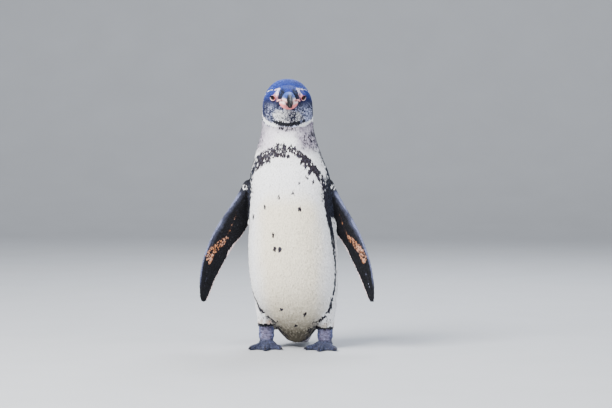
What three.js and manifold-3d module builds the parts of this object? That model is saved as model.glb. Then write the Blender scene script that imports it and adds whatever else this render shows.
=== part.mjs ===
// A Galapagos penguin standing upright, at life size, as a still model.
//
// Millimetres, +Z up. The bird faces -Y, so its left side is +X, and its soles stand on z = 0.
// The trunk, neck and head are lofted as one whole and then parted by thin cuts; the legs,
// flippers, tail, bill and eyes sit in pockets of that whole. Neighbours keep a gap of GAP.

import * as THREE from "three";
import { mergeVertices } from "three/addons/utils/BufferGeometryUtils.js";
import Module from "manifold-3d";

const wasm = await Module();
wasm.setup();

// ---------------------------------------------------------------- driving dimensions

const GAP = 0.3; // clearance between touching parts
const FLOOR = 0;

// The whole bird. The feet stand a little to the left of the line through the head.
const EAR_LEVEL = 395.8;
const STANCE_X = 3;
const NECK_X = -5.8;

// Levels of trunk and neck, from the vent up to the cheeks: height, middle (x, y), half-width,
// and how far the section reaches to the front and to the back of its middle.
const BODY_LEVELS = [
  { name: "vent", z: 7, x: STANCE_X, y: 26, half: 0, front: 0, back: 0 },
  { name: "under tail", z: 11, x: STANCE_X, y: 27, half: 15, front: 18, back: 22 },
  { name: "low belly", z: 24, x: STANCE_X, y: 25, half: 28, front: 30, back: 34 },
  { name: "rump", z: 40, x: STANCE_X, y: 19, half: 42, front: 42, back: 42 },
  { name: "thighs", z: 58, x: STANCE_X, y: 13, half: 58, front: 51, back: 50 },
  { name: "knees", z: 78, x: 2, y: 8, half: 65, front: 57, back: 55 },
  { name: "flank", z: 105, x: 1, y: 3, half: 68.6, front: 61, back: 61 },
  { name: "belly", z: 135, x: 0, y: 0, half: 70, front: 64, back: 63 },
  { name: "high belly", z: 165, x: -1, y: -2, half: 69.2, front: 65, back: 63 },
  { name: "breast", z: 195, x: -1.5, y: -4, half: 67, front: 64.5, back: 62 },
  { name: "high breast", z: 225, x: -2.5, y: -8, half: 64.5, front: 60, back: 58 },
  { name: "shoulders", z: 252, x: -3, y: -12, half: 63.8, front: 54.5, back: 55 },
  { name: "crop", z: 275, x: -4, y: -16, half: 60.8, front: 48, back: 50 },
  { name: "neck base", z: 297, x: -5.4, y: -20, half: 53.6, front: 41, back: 44 },
  { name: "neck", z: 318, x: NECK_X, y: -23, half: 46.6, front: 35, back: 39.5 },
  { name: "nape", z: 338, x: NECK_X, y: -24, half: 41, front: 31.5, back: 36 },
  { name: "throat", z: 356, x: NECK_X, y: -26, half: 39.2, front: 31.5, back: 35 },
  { name: "cheeks", z: 374, x: NECK_X, y: -28, half: 39, front: 34, back: 37 },
];
// Above the cheeks the skull is an egg-shaped dome; a fullness of 1 would make it elliptical,
// and less makes it broader near the top.
const CROWN_HEIGHT = 46;
const CROWN_FULLNESS = 0.9;
const CROWN_STEPS = 6;

// The head turns and nods about the point between its ears.
const HEAD_ORIGIN = new THREE.Vector3(NECK_X, -30, EAR_LEVEL);
const HEAD_YAW = THREE.MathUtils.degToRad(9);
const HEAD_NOD = THREE.MathUtils.degToRad(2);

// The face runs forward from the skull to the feather edge round the bill: distance ahead of
// HEAD_ORIGIN, middle height from ear level, half-width, and reach up and down.
const FACE_LEVELS = [
  { name: "inside", ahead: 2, z: -12, half: 0, up: 0, down: 0 },
  { name: "ears", ahead: 5, z: -12, half: 34, up: 27, down: 33 },
  { name: "jowls", ahead: 12, z: -12, half: 33, up: 28, down: 34 },
  { name: "eyes", ahead: 20, z: -12, half: 29, up: 27.5, down: 33 },
  { name: "lores", ahead: 28, z: -12, half: 24.5, up: 25.5, down: 28.5 },
  { name: "chin", ahead: 36, z: -11, half: 19, up: 21.5, down: 21.5 },
  { name: "feather edge", ahead: 42.5, z: -9.5, half: 14, up: 16, down: 14.5 },
  { name: "bill root", ahead: 48, z: -8, half: 9, up: 10, down: 9 },
  { name: "end", ahead: 51, z: -7, half: 0, up: 0, down: 0 },
];

// The bill in the same terms, with its heights from ear level: the ridge on top, the cutting
// edge where the two halves meet, and the keel below. The lower half stops short of the hook.
const BILL_LEVELS = [
  { name: "root", ahead: 34, half: 0, ridge: -1, edge: -7, keel: -13 },
  { name: "gape", ahead: 36, half: 13, ridge: 5.4, edge: -7.6, keel: -19 },
  { name: "base", ahead: 43, half: 11.4, ridge: 5.9, edge: -7.3, keel: -19 },
  { name: "nostril", ahead: 52, half: 9, ridge: 4.1, edge: -7.4, keel: -17.6 },
  { name: "ridge", ahead: 62, half: 7.2, ridge: 1.8, edge: -8, keel: -16 },
  { name: "narrow", ahead: 72, half: 6, ridge: -0.7, edge: -8.9, keel: -15.1 },
  { name: "hook start", ahead: 81, half: 5, ridge: -3.8, edge: -10.6, keel: -15 },
  { name: "hook", ahead: 88.5, half: 3.9, ridge: -7.6, edge: -13.4 },
  { name: "nail", ahead: 93.6, half: 2.3, ridge: -11.8, edge: -15.8 },
  { name: "tip", ahead: 95.4, half: 0, ridge: -15.7, edge: -15.7 },
];
const LOWER_BILL_END = { ahead: 86.5, height: -13.8 };
const LOWER_BILL_WIDTH = 0.93; // of the upper half's width, whose edge overhangs it
const EDGE_THICK = 0.8; // how far each half bulges past the cutting edge

// Each eye's place from HEAD_ORIGIN.
const EYE_RADIUS = 8;
const EYE_ASIDE = 19.1;
const EYE_AHEAD = 19.1;
const EYE_BELOW = 2;

// The cuts that part head, neck and trunk, each by the height at the front and at the back.
const HEAD_CUT = { front: { y: -53, z: 346 }, back: { y: 15, z: 360 } };
const NECK_CUT = { front: { y: -61, z: 299 }, back: { y: 26, z: 295 } };

// A flipper by distance along its span: reach of the leading and the trailing edge from the
// line of the bones, and thickness.
const FLIPPER_LEVELS = [
  { name: "buried end", span: -20, lead: 0, trail: 0, thick: 0 },
  { name: "shoulder", span: -14, lead: 6, trail: 17, thick: 13 },
  { name: "root", span: 2, lead: 8.6, trail: 22.5, thick: 14 },
  { name: "elbow", span: 22, lead: 13, trail: 26, thick: 12 },
  { name: "forearm", span: 42, lead: 18.6, trail: 26.8, thick: 10 },
  { name: "wrist", span: 62, lead: 24, trail: 24.8, thick: 9 },
  { name: "palm", span: 82, lead: 27.2, trail: 17.4, thick: 8 },
  { name: "fingers", span: 102, lead: 28.2, trail: 12.6, thick: 7 },
  { name: "blade", span: 122, lead: 27.6, trail: 9.4, thick: 6 },
  { name: "narrow", span: 142, lead: 24, trail: 7.1, thick: 4.9 },
  { name: "end", span: 160, lead: 18.5, trail: 6.2, thick: 4 },
  { name: "near tip", span: 175, lead: 12, trail: 5.3, thick: 3 },
  { name: "round tip", span: 182.5, lead: 7.2, trail: 3.6, thick: 2 },
  { name: "tip", span: 185.5, lead: 2.5, trail: -2.5, thick: 0 },
];
const THICKEST = 0.36; // the thickest line of a flipper, as a part of the chord from its front
// Each flipper hangs from its shoulder, slants out to the side, and turns its leading edge
// out and forward by the angle given.
const FLIPPERS = {
  right: { sign: -1, shoulder: new THREE.Vector3(-74.2, -12, 245.8), slant: 20.6, forward: 30 },
  left: { sign: 1, shoulder: new THREE.Vector3(60.4, -12, 249), slant: 19.8, forward: 37 },
};

// Legs and feet
const STANCE_HALF = 46;
const LEG_LEVELS = [
  { name: "hip", z: 98, y: 12, half: 0, front: 0, back: 0 },
  { name: "high thigh", z: 87, y: 12, half: 11, front: 18, back: 18 },
  { name: "thigh", z: 70, y: 10, half: 18.6, front: 31, back: 28 },
  { name: "low thigh", z: 54, y: 9, half: 16, front: 24.5, back: 24 },
  { name: "feather edge", z: 41, y: 8, half: 14.4, front: 17.5, back: 19 },
  { name: "under feathers", z: 35, y: 7.5, half: 13, front: 14, back: 15.6 },
  { name: "shank", z: 28, y: 7, half: 12.2, front: 11.4, back: 13 },
  { name: "ankle", z: 12, y: 5, half: 11.6, front: 10.6, back: 12 },
  { name: "buried end", z: 6.5, y: 5, half: 0, front: 0, back: 0 },
];
const ANKLE_Y = 5;
// Toes from the inner one to the outer one: splay from straight ahead, and length. The bird
// stands a little pigeon-toed.
const TOES = [
  { name: "inner", splay: -38, long: 42 },
  { name: "middle", splay: -5, long: 52 },
  { name: "outer", splay: 26, long: 46 },
];
const TOE_LEVELS = [
  { part: -0.14, z: 7, half: 0, up: 0, down: 0 },
  { part: 0, z: 6, half: 7.2, up: 7.8, down: 6.8 },
  { part: 0.35, z: 4.8, half: 6, up: 5.2, down: 5.6 },
  { part: 0.7, z: 4.1, half: 5.4, up: 4.1, down: 4.9 },
  { part: 0.95, z: 3.4, half: 4.6, up: 3.3, down: 4.1 },
  { part: 1.04, z: 2.8, half: 0, up: 0, down: 0 },
];
const WEB_THICK = 2.6;
const WEB_TO = 0.86; // the web ends at this part of each toe's length
const WEB_SCALLOP = 0.8; // its free edge curves in to this part of the way between two toes
const HEEL = { z: 8, half: 12.4, front: 13, back: 14, high: 8.6 };
const CLAW_LONG = 11;
const CLAW_RADIUS = 2.4;
const CLAW_ROOT = 0.9; // a claw starts at this part of its toe's length
const CLAW_HIGH = 3.9; // and this far above the floor
const CLAW_NARROW = 0.8; // a claw's width as a part of its height
// Along a claw: part of its length, how far it has curved down, and size as a part of its radius.
const CLAW_LEVELS = [
  { part: 0, drop: 0, size: 0 },
  { part: 0.12, drop: 0, size: 0.9 },
  { part: 0.45, drop: 0.1, size: 0.9 },
  { part: 0.8, drop: 0.9, size: 0.5 },
  { part: 1, drop: 1.7, size: 0 },
];
const HALLUX = { turn: -72, ahead: 10, z: 9, long: 7, radius: 3.2, drop: 2 };
// Along the hind toe: part of its length, and size as a part of its radius.
const HALLUX_LEVELS = [
  { part: -0.6, size: 0 },
  { part: -0.2, size: 1 },
  { part: 0.5, size: 0.9 },
  { part: 1, size: 0 },
];
// The hind claw: where it starts on its toe, how far below the toe's line, and its size as
// parts of a front claw's length and radius.
const HIND_CLAW = { root: 0.6, below: 1.4, long: 0.6, radius: 0.7 };

// Tail: a short stiff wedge that carries the back's line down until its tip lies on the floor.
const TAIL_LEVELS = [
  { name: "buried end", y: 37, z: 55, half: 0, thick: 0 },
  { name: "root", y: 45, z: 47.5, half: 24, thick: 27 },
  { name: "rump edge", y: 58, z: 36, half: 24, thick: 22 },
  { name: "middle", y: 72, z: 24.5, half: 21, thick: 15 },
  { name: "low", y: 85, z: 12.4, half: 17, thick: 9 },
  { name: "end", y: 96, z: 2.6, half: 11, thick: 5.4 },
  { name: "tip", y: 100, z: 0.2, half: 0, thick: 0 },
];

// How finely each form is divided: sides round it, and steps along it.
const FINE = {
  body: { around: 32, along: 36 },
  face: { around: 20, along: 14 },
  bill: { around: 10, along: 14 },
  eye: { around: 10, along: 8 },
  flipper: { around: 10, along: 22 },
  leg: { around: 12, along: 12 },
  toe: { around: 8, along: 8 },
  claw: { around: 6, along: 5 },
  tail: { around: 12, along: 10 },
};

const FINISHES = {
  black_coat: { color: 0x23242a, roughness: 0.7, metalness: 0 },
  white_coat: { color: 0xe9e5da, roughness: 0.8, metalness: 0 },
  grey_coat: { color: 0x9a948e, roughness: 0.8, metalness: 0 },
  dark_horn: { color: 0x1c1d21, roughness: 0.4, metalness: 0 },
  pink_horn: { color: 0xc9a09a, roughness: 0.5, metalness: 0 },
  scaled_skin: { color: 0x4c4a55, roughness: 0.7, metalness: 0 },
  foot_skin: { color: 0x24262e, roughness: 0.65, metalness: 0 },
  eye: { color: 0x1a0f0c, roughness: 0.1, metalness: 0 },
};

// ---------------------------------------------------------------- solids

// The volume inside a closed indexed geometry, negative where its faces point inwards.
function signedVolume(geometry) {
  const { index, attributes } = geometry;
  const [a, b, c] = [new THREE.Vector3(), new THREE.Vector3(), new THREE.Vector3()];
  let sum = 0;
  for (let i = 0; i < index.count; i += 3) {
    a.fromBufferAttribute(attributes.position, index.getX(i));
    b.fromBufferAttribute(attributes.position, index.getX(i + 1));
    c.fromBufferAttribute(attributes.position, index.getX(i + 2));
    sum += a.dot(b.cross(c)) / 6;
  }
  return sum;
}

// Keeps only the positions, joins the vertices that coincide, and turns the faces outwards.
function closed(geometry) {
  geometry.deleteAttribute("uv");
  geometry.deleteAttribute("normal");
  const merged = mergeVertices(geometry);
  if (signedVolume(merged) < 0) {
    merged.index.array.reverse();
  }
  return merged;
}

// A closed form through egg-shaped rings. A ring gives its centre, how far it reaches to
// either side, and how far up and down; `side` and `up` are the directions these are taken in.
// The first and last ring are points.
function loft(rings, side, up, { around, along }) {
  const smooth = (points) => new THREE.CatmullRomCurve3(points, false, "catmullrom", 0.5);
  const centres = smooth(rings.map((ring) => ring.centre));
  const reaches = smooth(rings.map((ring) => new THREE.Vector3(ring.side, ring.up, ring.down)));
  const geometry = new THREE.SphereGeometry(1, around, along);
  const { position } = geometry.attributes;
  for (let row = 0; row <= along; row += 1) {
    const centre = centres.getPoint(row / along);
    const reach = reaches.getPoint(row / along);
    for (let column = 0; column <= around; column += 1) {
      const angle = ((column % around) / around) * 2 * Math.PI;
      const height = Math.sin(angle);
      const point = centre.clone();
      point.addScaledVector(side, Math.cos(angle) * reach.x);
      point.addScaledVector(up, height * (height > 0 ? reach.y : reach.z));
      position.setXYZ(row * (around + 1) + column, point.x, point.y, point.z);
    }
  }
  return closed(geometry);
}

// The same form, larger all round by `by`: the pocket that a part leaves in its neighbour.
function grown(geometry, by) {
  const larger = geometry.clone();
  larger.computeVertexNormals();
  const { position, normal } = larger.attributes;
  for (let i = 0; i < position.count; i += 1) {
    position.setXYZ(
      i,
      position.getX(i) + by * normal.getX(i),
      position.getY(i) + by * normal.getY(i),
      position.getZ(i) + by * normal.getZ(i),
    );
  }
  larger.deleteAttribute("normal");
  return larger;
}

function solidOf(geometry) {
  const mesh = new wasm.Mesh({
    numProp: 3,
    vertProperties: new Float32Array(geometry.attributes.position.array),
    triVerts: new Uint32Array(geometry.index.array),
  });
  return new wasm.Manifold(mesh);
}

function geometryOf(solid) {
  const { vertProperties, triVerts } = solid.getMesh();
  const geometry = new THREE.BufferGeometry();
  geometry.setAttribute("position", new THREE.BufferAttribute(vertProperties, 3));
  geometry.setIndex(new THREE.BufferAttribute(triVerts, 1));
  return geometry;
}

const pocketOf = (geometry) => solidOf(grown(geometry, GAP));

const withPockets = (solid, geometries) =>
  geometries.reduce((rest, geometry) => rest.subtract(pocketOf(geometry)), solid);

// The largest of a solid's separate pieces, without the slivers that a cut may leave.
function largest(solid) {
  const pieces = solid.decompose();
  return pieces.reduce((best, piece) => (piece.volume() > best.volume() ? piece : best));
}

const aboveFloor = (solid) => solid.trimByPlane([0, 0, 1], FLOOR);

// ---------------------------------------------------------------- trunk, neck and head

const X = new THREE.Vector3(1, 0, 0);
const FORWARD = new THREE.Vector3(0, -1, 0);
const UP = new THREE.Vector3(0, 0, 1);

function bodyForm() {
  const rings = BODY_LEVELS.map(({ x, y, z, half, front, back }) => ({
    centre: new THREE.Vector3(x, y, z),
    side: half,
    up: front,
    down: back,
  }));
  const cheeks = rings[rings.length - 1];
  for (let step = 1; step <= CROWN_STEPS; step += 1) {
    const turn = (step / CROWN_STEPS) * (Math.PI / 2);
    const shrink = step < CROWN_STEPS ? Math.cos(turn) ** CROWN_FULLNESS : 0;
    rings.push({
      centre: cheeks.centre.clone().addScaledVector(UP, CROWN_HEIGHT * Math.sin(turn)),
      side: cheeks.side * shrink,
      up: cheeks.up * shrink,
      down: cheeks.down * shrink,
    });
  }
  return loft(rings, X, FORWARD, FINE.body);
}

// From the head's own frame, where it looks along -Y from the origin, to the bird's.
function headPlace() {
  return new THREE.Matrix4()
    .makeTranslation(HEAD_ORIGIN)
    .multiply(new THREE.Matrix4().makeRotationZ(HEAD_YAW))
    .multiply(new THREE.Matrix4().makeRotationX(HEAD_NOD));
}

function faceForm() {
  const rings = FACE_LEVELS.map(({ ahead, z, half, up, down }) => ({
    centre: new THREE.Vector3(0, -ahead, z),
    side: half,
    up,
    down,
  }));
  return loft(rings, X, UP, FINE.face).applyMatrix4(headPlace());
}

// Both halves of the bill are domes that stand back to back on the cutting edge.
function billForm(rings) {
  const placed = rings.map(({ ahead, height, side, up, down }) => ({
    centre: new THREE.Vector3(0, -ahead, height),
    side,
    up,
    down,
  }));
  return loft(placed, X, UP, FINE.bill).applyMatrix4(headPlace());
}

const edgeThick = (half) => (half > 0 ? EDGE_THICK : 0);

function upperBill() {
  return billForm(BILL_LEVELS.map(({ ahead, half, ridge, edge }) => ({
    ahead,
    height: half > 0 ? edge : ridge,
    side: half,
    up: half > 0 ? ridge - edge : 0,
    down: edgeThick(half),
  })));
}

function lowerBill() {
  const rings = BILL_LEVELS.filter(({ keel }) => keel).map(({ ahead, half, edge, keel }) => ({
    ahead,
    height: half > 0 ? edge - EDGE_THICK - GAP : keel,
    side: half * LOWER_BILL_WIDTH,
    up: edgeThick(half),
    down: half > 0 ? edge - EDGE_THICK - GAP - keel : 0,
  }));
  return billForm([...rings, { ...LOWER_BILL_END, side: 0, up: 0, down: 0 }]);
}

function eyeForm(sign) {
  const ball = new THREE.SphereGeometry(EYE_RADIUS, FINE.eye.around, FINE.eye.along);
  ball.translate(sign * EYE_ASIDE, -EYE_AHEAD, -EYE_BELOW);
  return closed(ball.applyMatrix4(headPlace()));
}

// The two sides of a cut that runs level across the bird, from a front to a back height.
function partedBy(solid, { front, back }) {
  const normal = new THREE.Vector3(0, front.z - back.z, back.y - front.y).normalize();
  const offset = normal.y * front.y + normal.z * front.z;
  const upper = solid.trimByPlane(normal.toArray(), offset + GAP / 2);
  const lower = solid.trimByPlane(normal.clone().negate().toArray(), GAP / 2 - offset);
  return { upper, lower };
}

// ---------------------------------------------------------------- flippers

function flipperForm({ sign, shoulder, slant, forward }) {
  const lean = THREE.MathUtils.degToRad(slant);
  const turn = THREE.MathUtils.degToRad(forward);
  const span = new THREE.Vector3(sign * Math.sin(lean), 0, -Math.cos(lean));
  const towards = new THREE.Vector3(sign * Math.cos(turn), -Math.sin(turn), 0);
  const chord = towards.addScaledVector(span, -towards.dot(span)).normalize();
  const normal = new THREE.Vector3().crossVectors(span, chord);
  const rings = FLIPPER_LEVELS.map((level) => {
    const width = level.lead + level.trail;
    return {
      centre: shoulder
        .clone()
        .addScaledVector(span, level.span)
        .addScaledVector(chord, level.lead - THICKEST * width),
      side: level.thick / 2,
      up: THICKEST * width,
      down: (1 - THICKEST) * width,
    };
  });
  return loft(rings, normal, chord, FINE.flipper);
}

// ---------------------------------------------------------------- legs, feet and claws

const legX = (sign) => STANCE_X + sign * STANCE_HALF;

function legForm(sign) {
  const rings = LEG_LEVELS.map(({ z, y, half, front, back }) => ({
    centre: new THREE.Vector3(legX(sign), y, z),
    side: half,
    up: front,
    down: back,
  }));
  return loft(rings, X, FORWARD, FINE.leg);
}

// The direction that a toe points in, from above; a positive splay turns it outwards.
function heading(sign, splay) {
  const turn = THREE.MathUtils.degToRad(splay);
  return new THREE.Vector3(sign * Math.sin(turn), -Math.cos(turn), 0);
}

const anklePoint = (sign) => new THREE.Vector3(legX(sign), ANKLE_Y, FLOOR);

function toeForm(sign, { splay, long }) {
  const ahead = heading(sign, splay);
  const across = new THREE.Vector3().crossVectors(UP, ahead);
  const rings = TOE_LEVELS.map(({ part, z, half, up, down }) => ({
    centre: anklePoint(sign).addScaledVector(ahead, part * long).addScaledVector(UP, z),
    side: half,
    up,
    down,
  }));
  return loft(rings, across, UP, FINE.toe);
}

// The web between the toes, with a free edge that curves in between each two of them.
function webForm(sign) {
  const ankle = anklePoint(sign);
  const ends = TOES.map(({ splay, long }) =>
    ankle.clone().addScaledVector(heading(sign, splay), long * WEB_TO));
  const shape = new THREE.Shape();
  shape.moveTo(ankle.x, ankle.y);
  shape.lineTo(ends[0].x, ends[0].y);
  for (let i = 1; i < ends.length; i += 1) {
    const between = ends[i - 1].clone().lerp(ends[i], 0.5).sub(ankle);
    const dip = ankle.clone().addScaledVector(between, WEB_SCALLOP);
    shape.quadraticCurveTo(dip.x, dip.y, ends[i].x, ends[i].y);
  }
  shape.closePath();
  const web = new THREE.ExtrudeGeometry(shape, {
    depth: WEB_THICK + GAP,
    bevelEnabled: false,
    curveSegments: 5,
  });
  return closed(web.translate(0, 0, -GAP));
}

function heelForm(sign) {
  const { z, half, front, back, high } = HEEL;
  const heel = new THREE.SphereGeometry(1, FINE.tail.along, FINE.toe.along);
  heel.scale(half, (front + back) / 2, high);
  const middle = anklePoint(sign);
  return closed(heel.translate(middle.x, middle.y + (back - front) / 2, z));
}

// A claw that starts in the toe, runs along `ahead` and curves down to its point.
function clawForm(root, ahead, long, radius) {
  const across = new THREE.Vector3().crossVectors(UP, ahead);
  const rings = CLAW_LEVELS.map(({ part, drop, size }) => ({
    centre: root.clone().addScaledVector(ahead, part * long).addScaledVector(UP, -drop),
    side: size * radius * CLAW_NARROW,
    up: size * radius,
    down: size * radius,
  }));
  return loft(rings, across, UP, FINE.claw);
}

function halluxPoint(sign) {
  const { turn, ahead, z } = HALLUX;
  return anklePoint(sign).addScaledVector(heading(sign, turn), ahead).addScaledVector(UP, z);
}

function halluxForm(sign) {
  const { turn, long, radius, drop } = HALLUX;
  const ahead = heading(sign, turn);
  const across = new THREE.Vector3().crossVectors(UP, ahead);
  const rings = HALLUX_LEVELS.map(({ part, size }) => ({
    centre: halluxPoint(sign).addScaledVector(ahead, part * long).addScaledVector(UP, -part * drop),
    side: size * radius,
    up: size * radius,
    down: size * radius,
  }));
  return loft(rings, across, UP, FINE.claw);
}

function clawForms(sign) {
  const claws = TOES.map(({ name, splay, long }) => {
    const ahead = heading(sign, splay);
    const root = anklePoint(sign)
      .addScaledVector(ahead, CLAW_ROOT * long)
      .addScaledVector(UP, CLAW_HIGH);
    return { name, form: clawForm(root, ahead, CLAW_LONG, CLAW_RADIUS) };
  });
  const ahead = heading(sign, HALLUX.turn / 2);
  const root = halluxPoint(sign)
    .addScaledVector(heading(sign, HALLUX.turn), HIND_CLAW.root * HALLUX.long)
    .addScaledVector(UP, -HIND_CLAW.below);
  const { long, radius } = HIND_CLAW;
  claws.push({ name: "hind", form: clawForm(root, ahead, CLAW_LONG * long, CLAW_RADIUS * radius) });
  return claws;
}

// ---------------------------------------------------------------- tail

function tailForm() {
  const first = TAIL_LEVELS[0];
  const last = TAIL_LEVELS[TAIL_LEVELS.length - 1];
  const along = new THREE.Vector3(0, last.y - first.y, last.z - first.z).normalize();
  const upper = new THREE.Vector3().crossVectors(X, along);
  const rings = TAIL_LEVELS.map(({ y, z, half, thick }) => ({
    centre: new THREE.Vector3(STANCE_X, y, z),
    side: half,
    up: thick / 2,
    down: thick / 2,
  }));
  return loft(rings, X, upper, FINE.tail);
}

// ---------------------------------------------------------------- the bird

const penguin = new THREE.Group();

function add(name, solid, finish) {
  const mesh = new THREE.Mesh(
    geometryOf(largest(solid)),
    new THREE.MeshStandardMaterial(FINISHES[finish]),
  );
  mesh.name = name;
  penguin.add(mesh);
}

const SIDES = { right: -1, left: 1 };

const tail = tailForm();
const eyes = Object.entries(SIDES).map(([side, sign]) => ({ side, form: eyeForm(sign) }));
const legs = Object.entries(SIDES).map(([side, sign]) => ({ side, sign, form: legForm(sign) }));
const flippers = Object.entries(FLIPPERS).map(([side, place]) => ({ side, form: flipperForm(place) }));
const billUpper = upperBill();
const billLower = lowerBill();

const whole = solidOf(bodyForm()).add(solidOf(faceForm()));
const { upper: headBlock, lower: belowHead } = partedBy(whole, HEAD_CUT);
const { upper: neckBlock, lower: trunkBlock } = partedBy(belowHead, NECK_CUT);

add("head", withPockets(headBlock, [billUpper, billLower, ...eyes.map(({ form }) => form)]), "black_coat");
add("neck", neckBlock, "grey_coat");
const limbs = [...legs, ...flippers].map(({ form }) => form);
add("trunk", withPockets(trunkBlock, [...limbs, tail]), "white_coat");
add("tail", aboveFloor(solidOf(tail)), "black_coat");
add("bill_upper", solidOf(billUpper), "dark_horn");
add("bill_lower", withPockets(solidOf(billLower), [billUpper]), "pink_horn");
for (const { side, form } of eyes) {
  add(`eye_${side}`, solidOf(form), "eye");
}
for (const { side, form } of flippers) {
  add(`flipper_${side}`, solidOf(form), "black_coat");
}
for (const { side, sign, form } of legs) {
  add(`leg_${side}`, solidOf(form), "scaled_skin");
  const claws = clawForms(sign);
  const toes = TOES.map((toe) => toeForm(sign, toe));
  const pieces = [...toes, webForm(sign), heelForm(sign), halluxForm(sign)];
  const foot = pieces.map(solidOf).reduce((joined, piece) => joined.add(piece));
  const sockets = [form, ...claws.map((claw) => claw.form)];
  add(`foot_${side}`, withPockets(aboveFloor(foot), sockets), "foot_skin");
  for (const claw of claws) {
    add(`claw_${side}_${claw.name}`, solidOf(claw.form), "dark_horn");
  }
}

// The origin is under the middle of the whole bird's box, on the floor.
const box = new THREE.Box3().setFromObject(penguin);
const middle = box.getCenter(new THREE.Vector3());
penguin.position.set(-middle.x, -middle.y, -box.min.z);

export default penguin;
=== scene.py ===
"""A Galapagos penguin standing upright, at life size, dressed as a still model for display.

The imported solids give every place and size. One skin is cast from the solids of flesh and lies
under their outline by the depth of the plumage. Feathers, scales, horn and eyes are then set on
that skin. Meshes are in metres. Sizes that are given in millimetres are turned into metres by MM.
"""

from __future__ import annotations

import logging
import math
from dataclasses import dataclass, field
from enum import IntEnum
from typing import Callable

import bmesh
import bpy
import numpy as np
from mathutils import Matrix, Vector
from mathutils.bvhtree import BVHTree

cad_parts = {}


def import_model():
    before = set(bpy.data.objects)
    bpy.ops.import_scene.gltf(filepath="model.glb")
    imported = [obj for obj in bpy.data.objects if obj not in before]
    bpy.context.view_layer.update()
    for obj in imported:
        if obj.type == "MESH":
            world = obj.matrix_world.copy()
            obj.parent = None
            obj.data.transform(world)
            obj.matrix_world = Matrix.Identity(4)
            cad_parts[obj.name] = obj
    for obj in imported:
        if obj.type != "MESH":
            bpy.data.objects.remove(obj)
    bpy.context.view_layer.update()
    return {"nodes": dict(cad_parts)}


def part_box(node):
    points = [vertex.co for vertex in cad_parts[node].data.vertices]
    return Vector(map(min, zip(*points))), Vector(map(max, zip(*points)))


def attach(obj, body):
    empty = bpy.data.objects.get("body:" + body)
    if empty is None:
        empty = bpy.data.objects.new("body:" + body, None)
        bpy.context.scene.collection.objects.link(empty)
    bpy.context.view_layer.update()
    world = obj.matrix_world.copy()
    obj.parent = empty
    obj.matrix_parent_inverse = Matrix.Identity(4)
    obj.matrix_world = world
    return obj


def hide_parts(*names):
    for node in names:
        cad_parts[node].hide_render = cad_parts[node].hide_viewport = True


LOG = logging.getLogger("penguin")
MM = 0.001
Array = np.ndarray
Object = bpy.types.Object
Mesh = bpy.types.Mesh
Material = bpy.types.Material
Node = bpy.types.Node
SIDES = {"right": -1, "left": 1}
FLIPPERS = ("flipper_right", "flipper_left")
LEGS = ("leg_right", "leg_left")
FEET = ("foot_right", "foot_left")
WHITE = (1.0, 1.0, 1.0)
UP = np.array([0.0, 0.0, 1.0])


# ---- numbers


def ease(low: float | Array, high: float | Array, x: Array) -> Array:
    """Rises smoothly from 0 at low to 1 at high."""
    t = np.clip((x - low) / (high - low), 0.0, 1.0)
    return t * t * (3.0 - 2.0 * t)


def hump(x: Array, middle: float, reach: float) -> Array:
    """A smooth bell of height 1 at middle that falls off over reach."""
    return np.exp(-(((x - middle) / reach) ** 2))


def unit(rows: Array) -> Array:
    """The same directions, each of length 1."""
    return rows / np.maximum(np.linalg.norm(rows, axis=-1, keepdims=True), 1e-9)


def blend(first: Array, second: Array, share: Array) -> Array:
    """Mixes two colours or vectors, point by point.

    Args:
        first: One value, or one row for each point.
        second: The same.
        share: How much of second each point takes.

    Returns:
        One row for each point.
    """
    first, second = np.atleast_2d(first), np.atleast_2d(second)
    return first + (second - first) * np.asarray(share)[:, None]


def flow(stops: Array, values: Array, at: Array) -> Array:
    """A smooth curve through values at given stops.

    Args:
        stops: Rising places of the values.
        values: What the curve passes through.
        at: Where to read it; held to the first and last stop.

    Returns:
        The curve's values at those places.
    """
    stops, values = np.asarray(stops, float), np.asarray(values, float)
    at = np.clip(at, stops[0], stops[-1])
    slopes = np.gradient(values, stops)
    i = np.clip(np.searchsorted(stops, at) - 1, 0, len(stops) - 2)
    gap = stops[i + 1] - stops[i]
    t = (at - stops[i]) / gap
    rest = 1.0 - t
    start = rest * rest * ((1 + 2 * t) * values[i] + t * gap * slopes[i])
    end = t * t * ((1 + 2 * rest) * values[i + 1] - rest * gap * slopes[i + 1])
    return start + end


def refined(stops: list, each: int) -> Array:
    """A smooth curve's points through stops, with each gap between them divided.

    Args:
        stops: Rows of numbers.
        each: How many steps a gap is divided into.

    Returns:
        More rows of the same numbers.
    """
    columns = np.array(stops, float).T
    last = len(stops) - 1
    fine = np.linspace(0, last, each * last + 1)
    return np.column_stack([flow(np.arange(last + 1), column, fine) for column in columns])


def ink(red: int, green: int, blue: int) -> Array:
    """A colour given as on a colour card, 0 to 255, in the linear values that shaders use."""
    card = np.array([red, green, blue]) / 255.0
    return np.where(card <= 0.04045, card / 12.92, ((card + 0.055) / 1.055) ** 2.4)


class Grain:
    """Smooth noise in space that is the same on every run."""

    cells = 4096

    def __init__(self, seed: int) -> None:
        """Draws the lattice from a seed."""
        rng = np.random.default_rng(seed)
        self.values = rng.random(self.cells) * 2.0 - 1.0
        self.turns = rng.permutation(self.cells)

    def corner(self, cell: Array) -> Array:
        """The lattice value at whole-numbered cells."""
        key = self.turns[cell[:, 0] % self.cells]
        key = self.turns[(key + cell[:, 1]) % self.cells]
        return self.values[self.turns[(key + cell[:, 2]) % self.cells]]

    def at(self, points: Array, size: float) -> Array:
        """Noise from -1 to 1 at points, with lumps of the given size."""
        place = points / size
        cell = np.floor(place).astype(int)
        t = place - cell
        t = t * t * (3.0 - 2.0 * t)
        total = np.zeros(len(points))
        for step in np.ndindex(2, 2, 2):
            near = np.where(np.array(step) == 1, t, 1.0 - t).prod(axis=1)
            total += near * self.corner(cell + np.array(step))
        return total


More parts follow.
